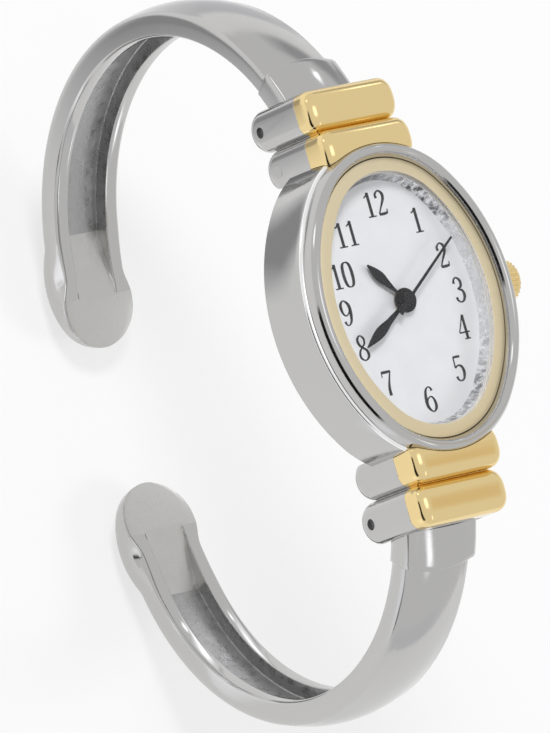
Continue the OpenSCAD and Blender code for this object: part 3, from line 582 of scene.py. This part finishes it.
def loft_arm():
    """Points and faces of the upper arm's shell, and the finish of each face."""
    vertices, faces, finish = [], [], []
    stations = arm_stations()
    ring_n = 2 * len(stations[0][2]) - 2
    for angle, past, half in stations:
        for x, d in half + [(-x, d) for x, d in half[-2:0:-1]]:
            bow = COLLAR_BOW * math.exp(-((angle - COLLAR_FROM) / COLLAR_BOW_SPAN) ** 2)
            bow *= 1 - (x / COLLAR_BOW_HALF) ** 2
            a = math.radians(angle - (bow if d > ARM_T / 2 else 0.0))
            r = ARM_IN_R + d
            y = ARM_Y + r * math.cos(a) + past * math.sin(a)
            z = ARM_Z + r * math.sin(a) - past * math.cos(a)
            vertices.append((x, y, z))
    floor_n = len(FLOOR_PARTS)
    for k, (_, past, half) in enumerate(stations[:-1]):
        in_channel = half[0][1] >= CHANNEL_DEPTH - 0.01
        satin_n = floor_n + (PAD_POINTS if past > TIP_L - RAMP_FOOT else -1)
        a, b = k * ring_n, (k + 1) * ring_n
        for i in range(ring_n):
            j = (i + 1) % ring_n
            faces.append((a + i, a + j, b + j, b + i))
            near = min(i, ring_n - 1 - i)
            if in_channel and near <= floor_n:
                finish.append(CAST)
            else:
                finish.append(SATIN if near <= satin_n else POLISHED)
    last = (len(stations) - 1) * ring_n
    faces += [tuple(range(ring_n))[::-1], tuple(range(last, last + ring_n))]
    finish += [POLISHED, POLISHED]
    return vertices, faces, finish


def slab_faces(n):
    """Faces of a slab whose two outlines have n points each."""
    ends = [tuple(range(n))[::-1], tuple(range(n, 2 * n))]
    return ends + [(i, (i + 1) % n, n + (i + 1) % n, n + i) for i in range(n)]


def stack_faces(n, rings):
    """Faces of a solid from rings of n points that lie one after another, closed flat at both ends."""
    faces = []
    for k in range(rings - 1):
        a, b = k * n, (k + 1) * n
        faces += [(a + i, a + (i + 1) % n, b + (i + 1) % n, b + i) for i in range(n)]
    last = (rings - 1) * n
    return faces + [tuple(range(n))[::-1], tuple(range(last, last + n))]


def prism(outline, x_from, x_to):
    """Solid between two x places, from an outline of (y, z) points."""
    return [(x, y, z) for x in (x_from, x_to) for y, z in outline], slab_faces(len(outline))


def round_outline(y, z, r, n, start=0.0, stop=360.0):
    """Points of a circle, or of an arc between two angles."""
    full = abs(stop - start) >= 360
    steps = n if full else n - 1
    turn = [math.radians(mix(start, stop, i / steps)) for i in range(n)]
    return [(y + r * math.cos(a), z + r * math.sin(a)) for a in turn]


def mirrored(vertices, flip):
    """Points made for the 12 o'clock side, or with flip -1 for the 6 o'clock side."""
    return [(x, flip * y, z) for x, y, z in vertices]


def new_piece(name, vertices, faces, finishes=()):
    """Mesh object from points in millimetres."""
    mesh = bpy.data.meshes.new(name)
    mesh.from_pydata([(x * MM, y * MM, z * MM) for x, y, z in vertices], [], faces)
    for finish in finishes:
        mesh.materials.append(FINISHES[finish])
    piece = bpy.data.objects.new(name, mesh)
    bpy.context.scene.collection.objects.link(piece)
    return piece


def solid(name, vertices, faces, finishes=()):
    """Closed mesh object with its faces turned outward."""
    piece = new_piece(name, vertices, faces, finishes)
    work = bmesh.new()
    work.from_mesh(piece.data)
    bmesh.ops.recalc_face_normals(work, faces=work.faces)
    work.to_mesh(piece.data)
    work.free()
    return piece


def carve(piece, steps):
    """Joins solids to a piece or cuts them from it, and applies the result to its mesh."""
    for operation, tool in steps:
        change = piece.modifiers.new(operation.lower(), "BOOLEAN")
        change.operation = operation
        change.solver = "EXACT"
        change.object = tool
    shown = piece.evaluated_get(bpy.context.evaluated_depsgraph_get())
    mesh = bpy.data.meshes.new_from_object(shown)
    piece.modifiers.clear()
    piece.data = mesh
    for _, tool in steps:
        bpy.data.objects.remove(tool)


# Angles above which an edge stays sharp, and the reach of the blocks that cut
ARM_CREASE = 32.0
HEAD_CREASE = 28.0
FAR = 40.0


def shade(piece, crease):
    """Smooth shading with creases where faces meet at more than the given angle."""
    mesh = piece.data
    mesh.polygons.foreach_set("use_smooth", [True] * len(mesh.polygons))
    mesh.set_sharp_from_angle(angle=math.radians(crease))


def make_arm(name, node, body, flip):
    """Arm at 12 o'clock, or with flip -1 at 6 o'clock, with its knuckle, bore and spring slot."""
    vertices, faces, finish = loft_arm()
    piece = solid(name, mirrored(vertices, flip), faces, ARM_FINISHES)
    piece.data.polygons.foreach_set("material_index", finish)

    def tool(label, outline, half):
        points, sides = prism(outline, -half, half)
        return solid(label, mirrored(points, flip), sides)

    knuckle = [
        (LUG_REACH - 0.1, POCKET_TOP_Z - 1.0),
        (LUG_REACH - 1.4, POCKET_TOP_Z - 0.55),
        (LUG_REACH - 2.4, POCKET_TOP_Z - 2.1),
    ]
    knuckle += round_outline(PIN_Y, PIN_Z, KNUCKLE_R, 20, 165.0, 282.0)
    knuckle.append((LUG_REACH - 0.1, PIN_Z + 0.3))
    bore = round_outline(PIN_Y, PIN_Z, KNUCKLE_BORE_R, 24)
    spring_slot = round_outline(PIN_Y, PIN_Z, SPRING_SLOT_R, 32)
    carve(piece, [
        ("UNION", tool("knuckle", knuckle, COLLAR_WIDER + ARM_HALF)),
        ("DIFFERENCE", tool("bore", bore, KNUCKLE_BORE_HALF)),
        ("DIFFERENCE", tool("spring_slot", spring_slot, SPRING_SLOT_HALF)),
    ])
    shade(piece, ARM_CREASE)
    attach(piece, body)
    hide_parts(node)


# Case and lugs. A case section point is (u, z), with u outward from the bezel's oval
FLARE = 0.62
WALL = 2.0
BACK_Z = CREST_Z - 7.1
RING_WALL_U = -1.15
RING_SEAT_Z = DIAL_Z + 0.5
RIM_FOOT_Z = CREST_Z - 1.36
RIM_TOP_U = -0.5
RIM_ROUND_U = 0.69
CASE_LEDGE = [(0.45, 7.14), (0.4, 7.26), (0.33, 7.34), (0.26, 7.37), (0.205, 7.38)]
CROWN_Z = DIAL_Z - 0.95
TUBE_R = 0.75
BAR_R = 1.925
BAR_TOP_H = 1.45
BAR_FULLNESS = 0.8
LUG_HALF = 4.87
END_ROUND = 1.15
END_FLAT_R = 0.85
INNER_BAR_Y = PIN_Y - 2 * BAR_R + 0.05
INNER_BAR_Z = 0.5
INNER_BAR_TOP = DIAL_Z + 2.05
OUTER_BAR_TOP = DIAL_Z + 1.25
CAP_Z = DIAL_Z - 0.95
CAP_GAP = 0.03
PLUG_R = 0.62
PLUG_DEPTH = 0.3
PLUG_PROUD = 0.02
POCKET_HALF = 4.05
POCKET_ROOF_Z = POCKET_TOP_Z + 0.1
POCKET_Y = INNER_BAR_Y + BAR_R + 0.3


def case_outside():
    """The case's outside from its back edge to the bezel's crest: wall, small ledge and rolled rim."""
    wall = [
        (FLARE - 0.32, BACK_Z),
        (FLARE, BACK_Z + 0.4),
        (FLARE, 3.4),
        (0.61, 4.4),
        (0.585, 5.3),
        (0.55, 6.0),
        (0.51, 6.6),
        (0.475, 7.0),
    ]
    rise = CREST_Z - RIM_FOOT_Z
    turns = [math.radians(5 * i) for i in range(19)]
    rim = [(RIM_TOP_U + RIM_ROUND_U * math.cos(a), RIM_FOOT_Z + rise * math.sin(a)) for a in turns]
    return wall + CASE_LEDGE + rim


def case_inside():
    """The case's inside from the bezel's lip down to its back edge, with the seat of the gold ring."""
    lip = [
        (-0.58, -0.005),
        (-0.68, -0.04),
        (-0.78, -0.12),
        (-0.86, -0.23),
        (-0.94, -0.37),
        (-1.02, -0.53),
        (-1.08, -0.67),
        (-1.12, -0.77),
        (RING_WALL_U, -0.85),
    ]
    seats = [(RING_WALL_U, RING_SEAT_Z), (-WALL, RING_SEAT_Z), (-WALL, BACK_Z)]
    return [(u, CREST_Z + dz) for u, dz in lip] + seats


def oval_sweep(section, turns=240):
    """Ring with a closed (u, z) section that follows the oval."""
    vertices, faces = [], []
    n = len(section)
    for k in range(turns):
        angle = math.tau * k / turns
        for u, z in section:
            x, y = oval_point(angle, u)
            vertices.append((x, y, z))
    for k in range(turns):
        a, b = k * n, (k + 1) % turns * n
        faces += [(a + i, a + (i + 1) % n, b + (i + 1) % n, b + i) for i in range(n)]
    return vertices, faces


def spun(outline, y, n=96):
    """Solid of (r, z) points turned about an upright axis at x = 0, closed flat at both ends."""
    turns = [math.tau * i / n for i in range(n)]
    vertices = [(r * math.cos(a), y + r * math.sin(a), z) for r, z in outline for a in turns]
    return vertices, stack_faces(n, len(outline))


def lug_bar(y, z_low, z_top):
    """One bar of a lug, flattened on top and rounded at both ends."""
    rounding = [END_ROUND * (1 - math.cos(math.radians(a))) for a in range(0, 100, 10)]
    places = [-LUG_HALF + d for d in rounding] + [LUG_HALF - d for d in reversed(rounding)]
    top_n, bottom_n = 28, 17
    vertices = []
    for x in places:
        e = max(0.0, abs(x) - (LUG_HALF - END_ROUND)) / END_ROUND
        k = (END_FLAT_R + (BAR_R - END_FLAT_R) * math.sqrt(max(0.0, 1 - e * e))) / BAR_R
        for i in range(top_n + 1):
            a = math.pi * i / top_n
            out = math.copysign(abs(math.cos(a)) ** BAR_FULLNESS, math.cos(a))
            rise = BAR_TOP_H * k * math.sin(a) ** BAR_FULLNESS
            vertices.append((x, y + BAR_R * k * out, z_top - BAR_TOP_H + rise))
        for i in range(bottom_n):
            a = math.pi + math.pi * i / (bottom_n - 1)
            vertices.append((x, y + BAR_R * k * math.cos(a), z_low + BAR_R * k * math.sin(a)))
    return vertices, stack_faces(top_n + 1 + bottom_n, len(places))


def make_lug(end, flip):
    """Silver base and gold cap of the lug at 12 o'clock, or with flip -1 at 6 o'clock."""
    def turned(label, shape, finishes=()):
        vertices, faces = shape
        return solid(label, mirrored(vertices, flip), faces, finishes)

    def bars(label, finish):
        first = turned(label, lug_bar(PIN_Y, PIN_Z, OUTER_BAR_TOP), [finish])
        return first, turned("inner_bar", lug_bar(INNER_BAR_Y, INNER_BAR_Z, INNER_BAR_TOP))

    def block(label, y_from, z_from, z_to, half):
        outline = [(y_from, z_from), (FAR, z_from), (FAR, z_to), (y_from, z_to)]
        return turned(label, prism(outline, -half, half))

    base, inner = bars(end + "_lug_base", "polished_steel")
    cavity = [(END_R + 0.1, -FAR), (END_R + 0.1, FAR)]
    carve(base, [
        ("UNION", inner),
        ("DIFFERENCE", block("above", -FAR, CAP_Z, FAR, FAR)),
        ("DIFFERENCE", turned("cavity", spun(cavity, END_CENTRE))),
        ("DIFFERENCE", block("pocket", POCKET_Y, -FAR, POCKET_ROOF_Z, POCKET_HALF)),
        ("DIFFERENCE", turned("pin_hole", prism(round_outline(PIN_Y, PIN_Z, PIN_HOLE_R, 32), -FAR, FAR))),
    ])
    cap, inner = bars(end + "_gold_bars", "gold_plate")
    seat = [(END_R + u + CAP_GAP, z) for u, z in case_outside()[1:]]
    seat = [(seat[0][0], -FAR)] + seat + [(seat[-1][0], FAR)]
    carve(cap, [
        ("UNION", inner),
        ("DIFFERENCE", block("below", -FAR, -FAR, CAP_Z, FAR)),
        ("DIFFERENCE", turned("case_seat", spun(seat, END_CENTRE, 192))),
    ])
    for piece, node, slot in ((base, "case", "polished_steel"), (cap, end + "_lug_cap", "gold_plate")):
        shade(piece, HEAD_CREASE)
        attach(piece, "head")
        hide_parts(node)


def make_ring():
    """Flat gold ring, level with the bezel's inner lip. It holds the crystal and laps over its edge."""
    low, seat, top = RING_SEAT_Z, DIAL_Z + 1.0, DIAL_Z + 1.75
    section = [
        (-1.2, low),
        (-1.2, top - 0.1),
        (-1.22, top - 0.05),
        (-1.27, top - 0.02),
        (-1.6, top + 0.015),
        (-1.9, top + 0.035),
        (-2.2, top + 0.04),
        (-2.33, top + 0.03),
        (-2.38, top + 0.012),
        (-2.38, top + 0.004),
        (-2.25, top + 0.004),
        (-2.25, seat),
        (-WALL, seat),
        (-WALL, low),
    ]
    ring = solid("gold_ring", *oval_sweep(section), ["pale_gold"])
    shade(ring, HEAD_CREASE)
    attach(ring, "head")
    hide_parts("bezel_ring")


def make_plugs():
    """Ends of the short pin that stays in the upper lug's inner bar."""
    outline = round_outline(INNER_BAR_Y, INNER_BAR_Z + 0.1, PLUG_R, 32)
    for side, label in ((-1, "left"), (1, "right")):
        end = side * LUG_HALF
        stub = prism(outline, end - side * PLUG_DEPTH, end + side * PLUG_PROUD)
        plug = solid(label + "_plug", *stub, ["polished_steel"])
        shade(plug, ARM_CREASE)
        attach(plug, "head")


def make_case():
    """Oval case with its lugs, the plugs in the upper lug and the gold ring."""
    section = case_outside() + case_inside()
    vertices, faces = oval_sweep(section)
    band = solid("case_band", vertices, faces, ["polished_steel", "painted_highlight_steel"])
    # The ledge's faces take the lighter steel, a painted highlight along the top of the case wall
    ledge_highlight = [point in CASE_LEDGE[:-1] for point in section]
    band.data.polygons.foreach_set("material_index", ledge_highlight * (len(faces) // len(section)))
    hole = prism(round_outline(0.0, CROWN_Z, TUBE_R, 32), CASE_W / 2 - WALL - 1, CASE_W / 2 + 2)
    carve(band, [("DIFFERENCE", solid("tube_hole", *hole))])
    shade(band, HEAD_CREASE)
    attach(band, "head")
    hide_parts("case")
    make_lug("upper", 1)
    make_lug("lower", -1)
    make_plugs()
    make_ring()


SECOND_ANGLE = 54.2
SECOND_L = 7.8
SECOND_Z = DIAL_Z + 0.95
SECOND_T = 0.12
BOSS_R = 0.62


def make_second_hand():
    """Thin hand with a blunt tail and a boss that covers the end of its arbor."""
    boss = [math.radians(a) for a in range(15, 170, 10)]
    right = [(0.34, -1.75), (0.16, -0.55)] + [(BOSS_R * math.sin(a), BOSS_R * -math.cos(a)) for a in boss]
    left = [(-x, y) for x, y in reversed(right[1:])]
    blade = [(0.13, 0.9), (0.09, SECOND_L), (-0.09, SECOND_L), (-0.13, 0.9)]
    outline = right + blade + left + [(-0.34, -1.75)]
    a = math.radians(SECOND_ANGLE)
    flat = [(x * math.cos(a) + y * math.sin(a), -x * math.sin(a) + y * math.cos(a)) for x, y in outline]
    vertices = [(x, y, z) for z in (SECOND_Z, SECOND_Z + SECOND_T) for x, y in flat]
    hand = solid("sweep_hand", vertices, slab_faces(len(flat)), ["hand_black"])
    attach(hand, "seconds")
    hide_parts("second_hand")


# Numerals: each stroke is a list of (x, y, width) on a digit 1 high, drawn as a smooth ribbon
DIGITS = {
    "0": [
        [(0.27, 0.99, 0.05), (0.11, 0.88, 0.12), (0.06, 0.5, 0.14), (0.11, 0.12, 0.12),
         (0.27, 0.01, 0.05), (0.43, 0.12, 0.12), (0.48, 0.5, 0.14), (0.43, 0.88, 0.12),
         (0.27, 0.99, 0.05)],
    ],
    "1": [
        [(0.27, 0.98, 0.13), (0.27, 0.02, 0.13)],
        [(0.07, 0.8, 0.05), (0.18, 0.86, 0.06), (0.28, 0.98, 0.06)],
        [(0.08, 0.02, 0.05), (0.46, 0.02, 0.05)],
    ],
    "2": [
        [(0.09, 0.7, 0.12), (0.09, 0.86, 0.09), (0.26, 0.98, 0.06), (0.42, 0.84, 0.13),
         (0.4, 0.62, 0.12), (0.2, 0.3, 0.07), (0.06, 0.06, 0.06)],
        [(0.06, 0.05, 0.1), (0.3, 0.05, 0.11), (0.45, 0.07, 0.09)],
        [(0.45, 0.05, 0.06), (0.48, 0.22, 0.04)],
    ],
    "3": [
        [(0.1, 0.76, 0.12), (0.13, 0.9, 0.08), (0.27, 0.98, 0.06), (0.42, 0.84, 0.12),
         (0.4, 0.62, 0.1), (0.22, 0.53, 0.05)],
        [(0.22, 0.53, 0.05), (0.42, 0.44, 0.1), (0.47, 0.24, 0.13), (0.37, 0.05, 0.09),
         (0.22, 0.01, 0.06), (0.1, 0.1, 0.09), (0.08, 0.22, 0.12)],
    ],
    "4": [
        [(0.36, 0.97, 0.12), (0.36, 0.02, 0.12)],
        [(0.35, 0.97, 0.05), (0.18, 0.6, 0.05), (0.03, 0.3, 0.05)],
        [(0.03, 0.28, 0.06), (0.52, 0.28, 0.06)],
        [(0.22, 0.02, 0.05), (0.5, 0.02, 0.05)],
    ],
    "5": [
        [(0.12, 0.96, 0.09), (0.44, 0.96, 0.09)],
        [(0.12, 0.97, 0.06), (0.1, 0.54, 0.06)],
        [(0.1, 0.53, 0.06), (0.26, 0.62, 0.06), (0.42, 0.54, 0.11), (0.47, 0.32, 0.13),
         (0.38, 0.07, 0.09), (0.22, 0.01, 0.06), (0.1, 0.09, 0.09), (0.08, 0.2, 0.12)],
    ],
    "6": [
        [(0.43, 0.82, 0.11), (0.38, 0.95, 0.07), (0.27, 0.98, 0.05), (0.13, 0.84, 0.1),
         (0.06, 0.5, 0.14), (0.08, 0.2, 0.13), (0.27, 0.01, 0.05), (0.44, 0.14, 0.12),
         (0.46, 0.36, 0.12), (0.4, 0.54, 0.08), (0.28, 0.6, 0.05), (0.14, 0.5, 0.06),
         (0.08, 0.36, 0.06)],
    ],
    "7": [
        [(0.05, 0.95, 0.1), (0.25, 0.95, 0.11), (0.49, 0.96, 0.08)],
        [(0.05, 0.98, 0.04), (0.04, 0.76, 0.04)],
        [(0.48, 0.96, 0.05), (0.34, 0.62, 0.08), (0.25, 0.3, 0.12), (0.24, 0.02, 0.14)],
    ],
    "8": [
        [(0.27, 0.99, 0.05), (0.12, 0.86, 0.11), (0.15, 0.64, 0.11), (0.3, 0.5, 0.09),
         (0.45, 0.36, 0.11), (0.46, 0.14, 0.11), (0.27, 0.01, 0.05), (0.08, 0.14, 0.1),
         (0.1, 0.36, 0.09), (0.26, 0.53, 0.06), (0.4, 0.66, 0.08), (0.42, 0.86, 0.09),
         (0.27, 0.99, 0.05)],
    ],
    "9": [
        [(0.46, 0.64, 0.06), (0.4, 0.5, 0.06), (0.26, 0.4, 0.05), (0.14, 0.46, 0.08),
         (0.08, 0.64, 0.12), (0.1, 0.86, 0.12), (0.27, 0.99, 0.05), (0.46, 0.8, 0.13),
         (0.48, 0.5, 0.14), (0.41, 0.16, 0.1), (0.27, 0.02, 0.05), (0.16, 0.05, 0.07),
         (0.11, 0.18, 0.11)],
    ],
}
DIGIT_WIDTH = 0.54
NUMERAL_H = 2.25
DIGIT_STEP = 0.56
NUMERAL_QUARTER = ((0.0, 8.85), (3.96, 6.74), (5.65, 3.26), (6.33, 0.0))
INK_T = 0.02
STROKE_WEIGHT = 1.02


def smooth_path(points, steps=6):
    """Catmull-Rom curve through points, or the points themselves where there are only two."""
    if len(points) == 2:
        return [Vector(p) for p in points]
    closed = points[0] == points[-1]
    v = [Vector(p) for p in points]
    out = []
    for i in range(len(v) - 1):
        before = v[i - 1] if i else (v[-2] if closed else v[0])
        after = v[i + 2] if i + 2 < len(v) else (v[1] if closed else v[-1])
        for k in range(steps):
            t = k / steps
            out.append(0.5 * (2 * v[i] + (v[i + 1] - before) * t
                              + (2 * before - 5 * v[i] + 4 * v[i + 1] - after) * t * t
                              + (3 * v[i] - before - 3 * v[i + 1] + after) * t ** 3))
    return out + [v[-1]]


def ribbon(stroke, place, height, z, vertices, faces):
    """Flat printed stroke as a thin raised ribbon."""
    path = smooth_path(stroke)
    first = len(vertices)
    for i, p in enumerate(path):
        a, b = path[max(i - 1, 0)], path[min(i + 1, len(path) - 1)]
        along = Vector((b.x - a.x, b.y - a.y)).normalized()
        side = Vector((-along.y, along.x)) * p.z / 2 * STROKE_WEIGHT
        for s in (1, -1):
            x = place[0] + (p.x + s * side.x) * height
            y = place[1] + (p.y + s * side.y) * height
            vertices.append((x, y, z + INK_T))
            vertices.append((x, y, z - INK_T))
    for i in range(len(path) - 1):
        a = first + 4 * i
        b = a + 4
        faces.append((a, b, b + 2, a + 2))
        faces.extend([(a + 1, a, b, b + 1)[::-1], (a + 2, a + 3, b + 3, b + 2)[::-1]])
    last = first + 4 * (len(path) - 1)
    faces.extend([(first, first + 2, first + 3, first + 1), (last, last + 1, last + 3, last + 2)])


def numeral_place(hour):
    """Middle of an hour's numeral. The quarter from 12 to 3 is mirrored to the other hours."""
    across, up = NUMERAL_QUARTER[min(hour % 6, 6 - hour % 6)]
    return (across if hour < 6 or hour == 12 else -across), (up if hour in (12, 1, 2, 10, 11) else -up)


def make_numerals():
    """Plain printed numerals 12 and 1 to 11, each a thin raised piece."""
    for hour in (12, *range(1, 12)):
        x, y = numeral_place(hour)
        vertices, faces = [], []
        text = str(hour)
        width = (DIGIT_STEP * (len(text) - 1) + DIGIT_WIDTH) * NUMERAL_H
        for i, digit in enumerate(text):
            corner = (x - width / 2 + i * DIGIT_STEP * NUMERAL_H, y - NUMERAL_H / 2)
            for stroke in DIGITS[digit]:
                ribbon(stroke, corner, NUMERAL_H, DIAL_Z, vertices, faces)
        numeral = new_piece(f"numeral_{hour}", vertices, faces, ["numeral_ink"])
        numeral.data.polygons.foreach_set("use_smooth", [False] * len(faces))
        numeral.data.validate()
        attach(numeral, "head")


# Stage, light and camera. The camera looks at AIM from CAMERA_BACK
AIM = Vector((1.17, -0.90, -15.2))
CAMERA_DISTANCE = 942.6
CAMERA_BACK = Vector((-0.60624, -0.08550, 0.79067))
PICTURE_UP = Vector((0.16585, 0.95876, 0.23083))
LENS = 523.6
SENSOR = 36.0
FLOOR_HALF = 4000.0
FLOOR_GAP = 0.05
FLOOR_GLOW = 1.04
FLOOR_WHITE = 0.62
WORLD_LIGHT = 0.5
SQUARE = ((-1, -1), (1, -1), (1, 1), (-1, 1))

# Directions for the cards, and the blue share of a grey one
UPRIGHT = (0, 0, 1)
TO_12 = (0, 1, 0)
TO_LEFT_SIDES = (-0.921, -0.379, 0.084)
COOL = 1.03


def facing(back, up):
    """Rotation of a camera, lamp or card whose +Z is back and whose +Y is near up."""
    z = back.normalized()
    x = up.cross(z).normalized()
    return Matrix((x, z.cross(x), z)).transposed().to_4x4()


def add_camera():
    data = bpy.data.cameras.new("camera")
    data.lens = LENS
    data.sensor_width = SENSOR
    data.clip_start = 0.01
    data.clip_end = 100.0
    camera = bpy.data.objects.new("camera", data)
    place = (AIM + CAMERA_BACK * CAMERA_DISTANCE) * MM
    camera.matrix_world = Matrix.Translation(place) @ facing(CAMERA_BACK, PICTURE_UP)
    bpy.context.scene.collection.objects.link(camera)
    bpy.context.scene.camera = camera


def white_to_lens(owner, base_shader, output, strength, share=1.0):
    """Mixes a share of white into what the lens, mirrors and glass see of a floor or world."""
    tree = owner.node_tree
    path = tree.nodes.new("ShaderNodeLightPath")
    seen = math_node(tree, "MAXIMUM", path.outputs["Is Camera Ray"], path.outputs["Is Glossy Ray"])
    seen = math_node(tree, "MAXIMUM", seen, path.outputs["Is Transmission Ray"])
    on_surface = output.bl_idname == "ShaderNodeOutputMaterial"
    glow = tree.nodes.new("ShaderNodeEmission" if on_surface else "ShaderNodeBackground")
    glow.inputs["Strength"].default_value = strength
    blend = tree.nodes.new("ShaderNodeMixShader")
    tree.links.new(math_node(tree, "MULTIPLY", seen, share), blend.inputs["Fac"])
    tree.links.new(base_shader, blend.inputs[1])
    tree.links.new(glow.outputs[0], blend.inputs[2])
    tree.links.new(blend.outputs["Shader"], output.inputs["Surface"])


def add_stage():
    """Plain pale floor just under the watch."""
    z = cad_low.z / MM - FLOOR_GAP
    floor = new_piece("floor", [(x * FLOOR_HALF, y * FLOOR_HALF, z) for x, y in SQUARE], [(0, 1, 2, 3)])
    material = bpy.data.materials.new("pale_floor")
    material.use_nodes = True
    tree = material.node_tree
    shader = tree.nodes["Principled BSDF"]
    shader.inputs["Roughness"].default_value = 0.9
    grain = noise(tree, tree.nodes.new("ShaderNodeTexCoord").outputs["Object"], 60.0)
    tone = mix_colour(tree, grain, (0.9, 0.9, 0.9), (0.93, 0.93, 0.93))
    tree.links.new(tone, shader.inputs["Base Color"])
    output = tree.nodes["Material Output"]
    white_to_lens(material, shader.outputs["BSDF"], output, FLOOR_GLOW, share=FLOOR_WHITE)
    floor.data.materials.append(material)


def card_glow(name, tone, soft):
    """Glow of a card in a grey tone or a colour. Its edges fade out over the soft share of it."""
    material = bpy.data.materials.new(name)
    material.use_nodes = True
    tree = material.node_tree
    tree.nodes.remove(tree.nodes["Principled BSDF"])
    split = tree.nodes.new("ShaderNodeSeparateXYZ")
    tree.links.new(tree.nodes.new("ShaderNodeTexCoord").outputs["Generated"], split.inputs["Vector"])
    cover = []
    for axis in ("X", "Y"):
        off = math_node(tree, "ABSOLUTE", math_node(tree, "SUBTRACT", split.outputs[axis], 0.5))
        cover.append(remap(tree, off, 0.5 - soft, 0.5, 1.0, 0.0))
    glow = tree.nodes.new("ShaderNodeEmission")
    colour = tone if isinstance(tone, tuple) else (tone, tone, tone * COOL)
    glow.inputs["Color"].default_value = (*colour, 1.0)
    clear = tree.nodes.new("ShaderNodeBsdfTransparent")
    blend = tree.nodes.new("ShaderNodeMixShader")
    tree.links.new(math_node(tree, "MULTIPLY", *cover), blend.inputs["Fac"])
    tree.links.new(clear.outputs["BSDF"], blend.inputs[1])
    tree.links.new(glow.outputs["Emission"], blend.inputs[2])
    tree.links.new(blend.outputs["Shader"], tree.nodes["Material Output"].inputs["Surface"])
    return material


def add_card(name, place, normal, width, height, tone, soft, up=UPRIGHT):
    """Studio card that only shows in the metal's reflections."""
    card = new_piece(name, [(x * width / 2, y * height / 2, 0) for x, y in SQUARE], [(0, 1, 2, 3)])
    card.matrix_world = Matrix.Translation(Vector(place) * MM) @ facing(Vector(normal), Vector(up))
    for kind in ("camera", "diffuse", "transmission", "volume_scatter", "shadow"):
        setattr(card, "visible_" + kind, False)
    card.data.materials.append(card_glow(name, tone, soft))


def far_card(name, toward, distance, width, height, tone, soft, up=UPRIGHT):
    """Card that stands in a direction from the watch and faces it."""
    toward = Vector(toward).normalized()
    add_card(name, AIM + toward * distance, toward, width, height, tone, soft, up)


def add_cards():
    """Cards that the steel and the gold reflect: darker ones for depth, and bright ones for gleams."""
    far_card("dark_left_card", (-0.9, -0.38, 0.08), 300, 400, 190, 0.01, 0.08)
    add_card("floor_card", (-29, 42, -39), UPRIGHT, 40, 52, 0.4, 0.3, TO_12)
    far_card("back_card", (0.7, 0.68, 0.1), 500, 420, 160, 0.45, 0.3)
    far_card("front_card", (0.3, -0.9, 0.0), 500, 500, 160, 0.75, 0.3)
    add_card("arch_card", (45, 72, -39), UPRIGHT, 90, 70, 0.72, 0.3, TO_12)
    add_card("collar_card", (-15, -28.5, -3), TO_LEFT_SIDES, 15, 20, 1.1, 0.3)
    add_card("upper_tip_card", (-14.7, 9.75, -34.9), TO_LEFT_SIDES, 17, 15, 1.5, 0.35)
    add_card("lower_tip_card", (-14.7, -18.8, -34.9), TO_LEFT_SIDES, 17, 15, 1.5, 0.35)
    add_card("channel_gleam", (18, 3, -27), (0.606, 0.773, 0.19), 14, 9, 2.4, 0.4)
    far_card("overhead_strip", (-0.157, 0.0855, 0.927), 500, 280, 220, 1.8, 0.3, TO_12)
    far_card("upper_gleam", (0.606, 0.7, 0.367), 500, 45, 60, 2.6, 0.3)
    far_card("left_gleam", (-0.657, 0.678, 0.324), 500, 110, 150, 2.2, 0.3)
    far_card("lower_gleam", (0.268, -0.69, 0.67), 500, 70, 260, 2.0, 0.35)
    warm = (0.74, 0.66, 0.54)
    add_card("warm_card", (15.8, -17.2, 28), (0.606, 0.0855, 0.791), 30, 18, warm, 0.38, TO_12)


def add_world():
    """White world that lights plainly and shows as plain white."""
    world = bpy.data.worlds.new("studio")
    bpy.context.scene.world = world
    world.use_nodes = True
    background = world.node_tree.nodes["Background"]
    background.inputs["Color"].default_value = (1.0, 1.0, 1.0, 1.0)
    background.inputs["Strength"].default_value = WORLD_LIGHT
    white_to_lens(world, background.outputs["Background"], world.node_tree.nodes["World Output"], 1.0)


def add_lamp(name, place, size, power):
    """Round soft lamp that looks at the middle of the watch. Power is in watts."""
    data = bpy.data.lights.new(name, "AREA")
    data.shape = "DISK"
    data.size = size * MM
    data.energy = power
    lamp = bpy.data.objects.new(name, data)
    place = Vector(place)
    lamp.matrix_world = Matrix.Translation(place * MM) @ facing(place - AIM, Vector((0, 1, 0.01)))
    lamp.visible_glossy = False
    bpy.context.scene.collection.objects.link(lamp)


def add_lamps():
    """One key lamp and a weaker fill."""
    add_lamp("key", (-150, 350, 500), 200, 1.7)
    add_lamp("fill", (450, -250, 350), 240, 1.0)


dress_cad_nodes()
make_arm("upper_bangle_arm", "upper_arm", "upper_arm", 1)
make_arm("lower_bangle_arm", "lower_arm", "lower_arm", -1)
make_case()
make_second_hand()
make_numerals()
add_stage()
add_cards()
add_world()
add_lamps()
add_camera()

scene = bpy.context.scene
scene.view_settings.view_transform = "Standard"
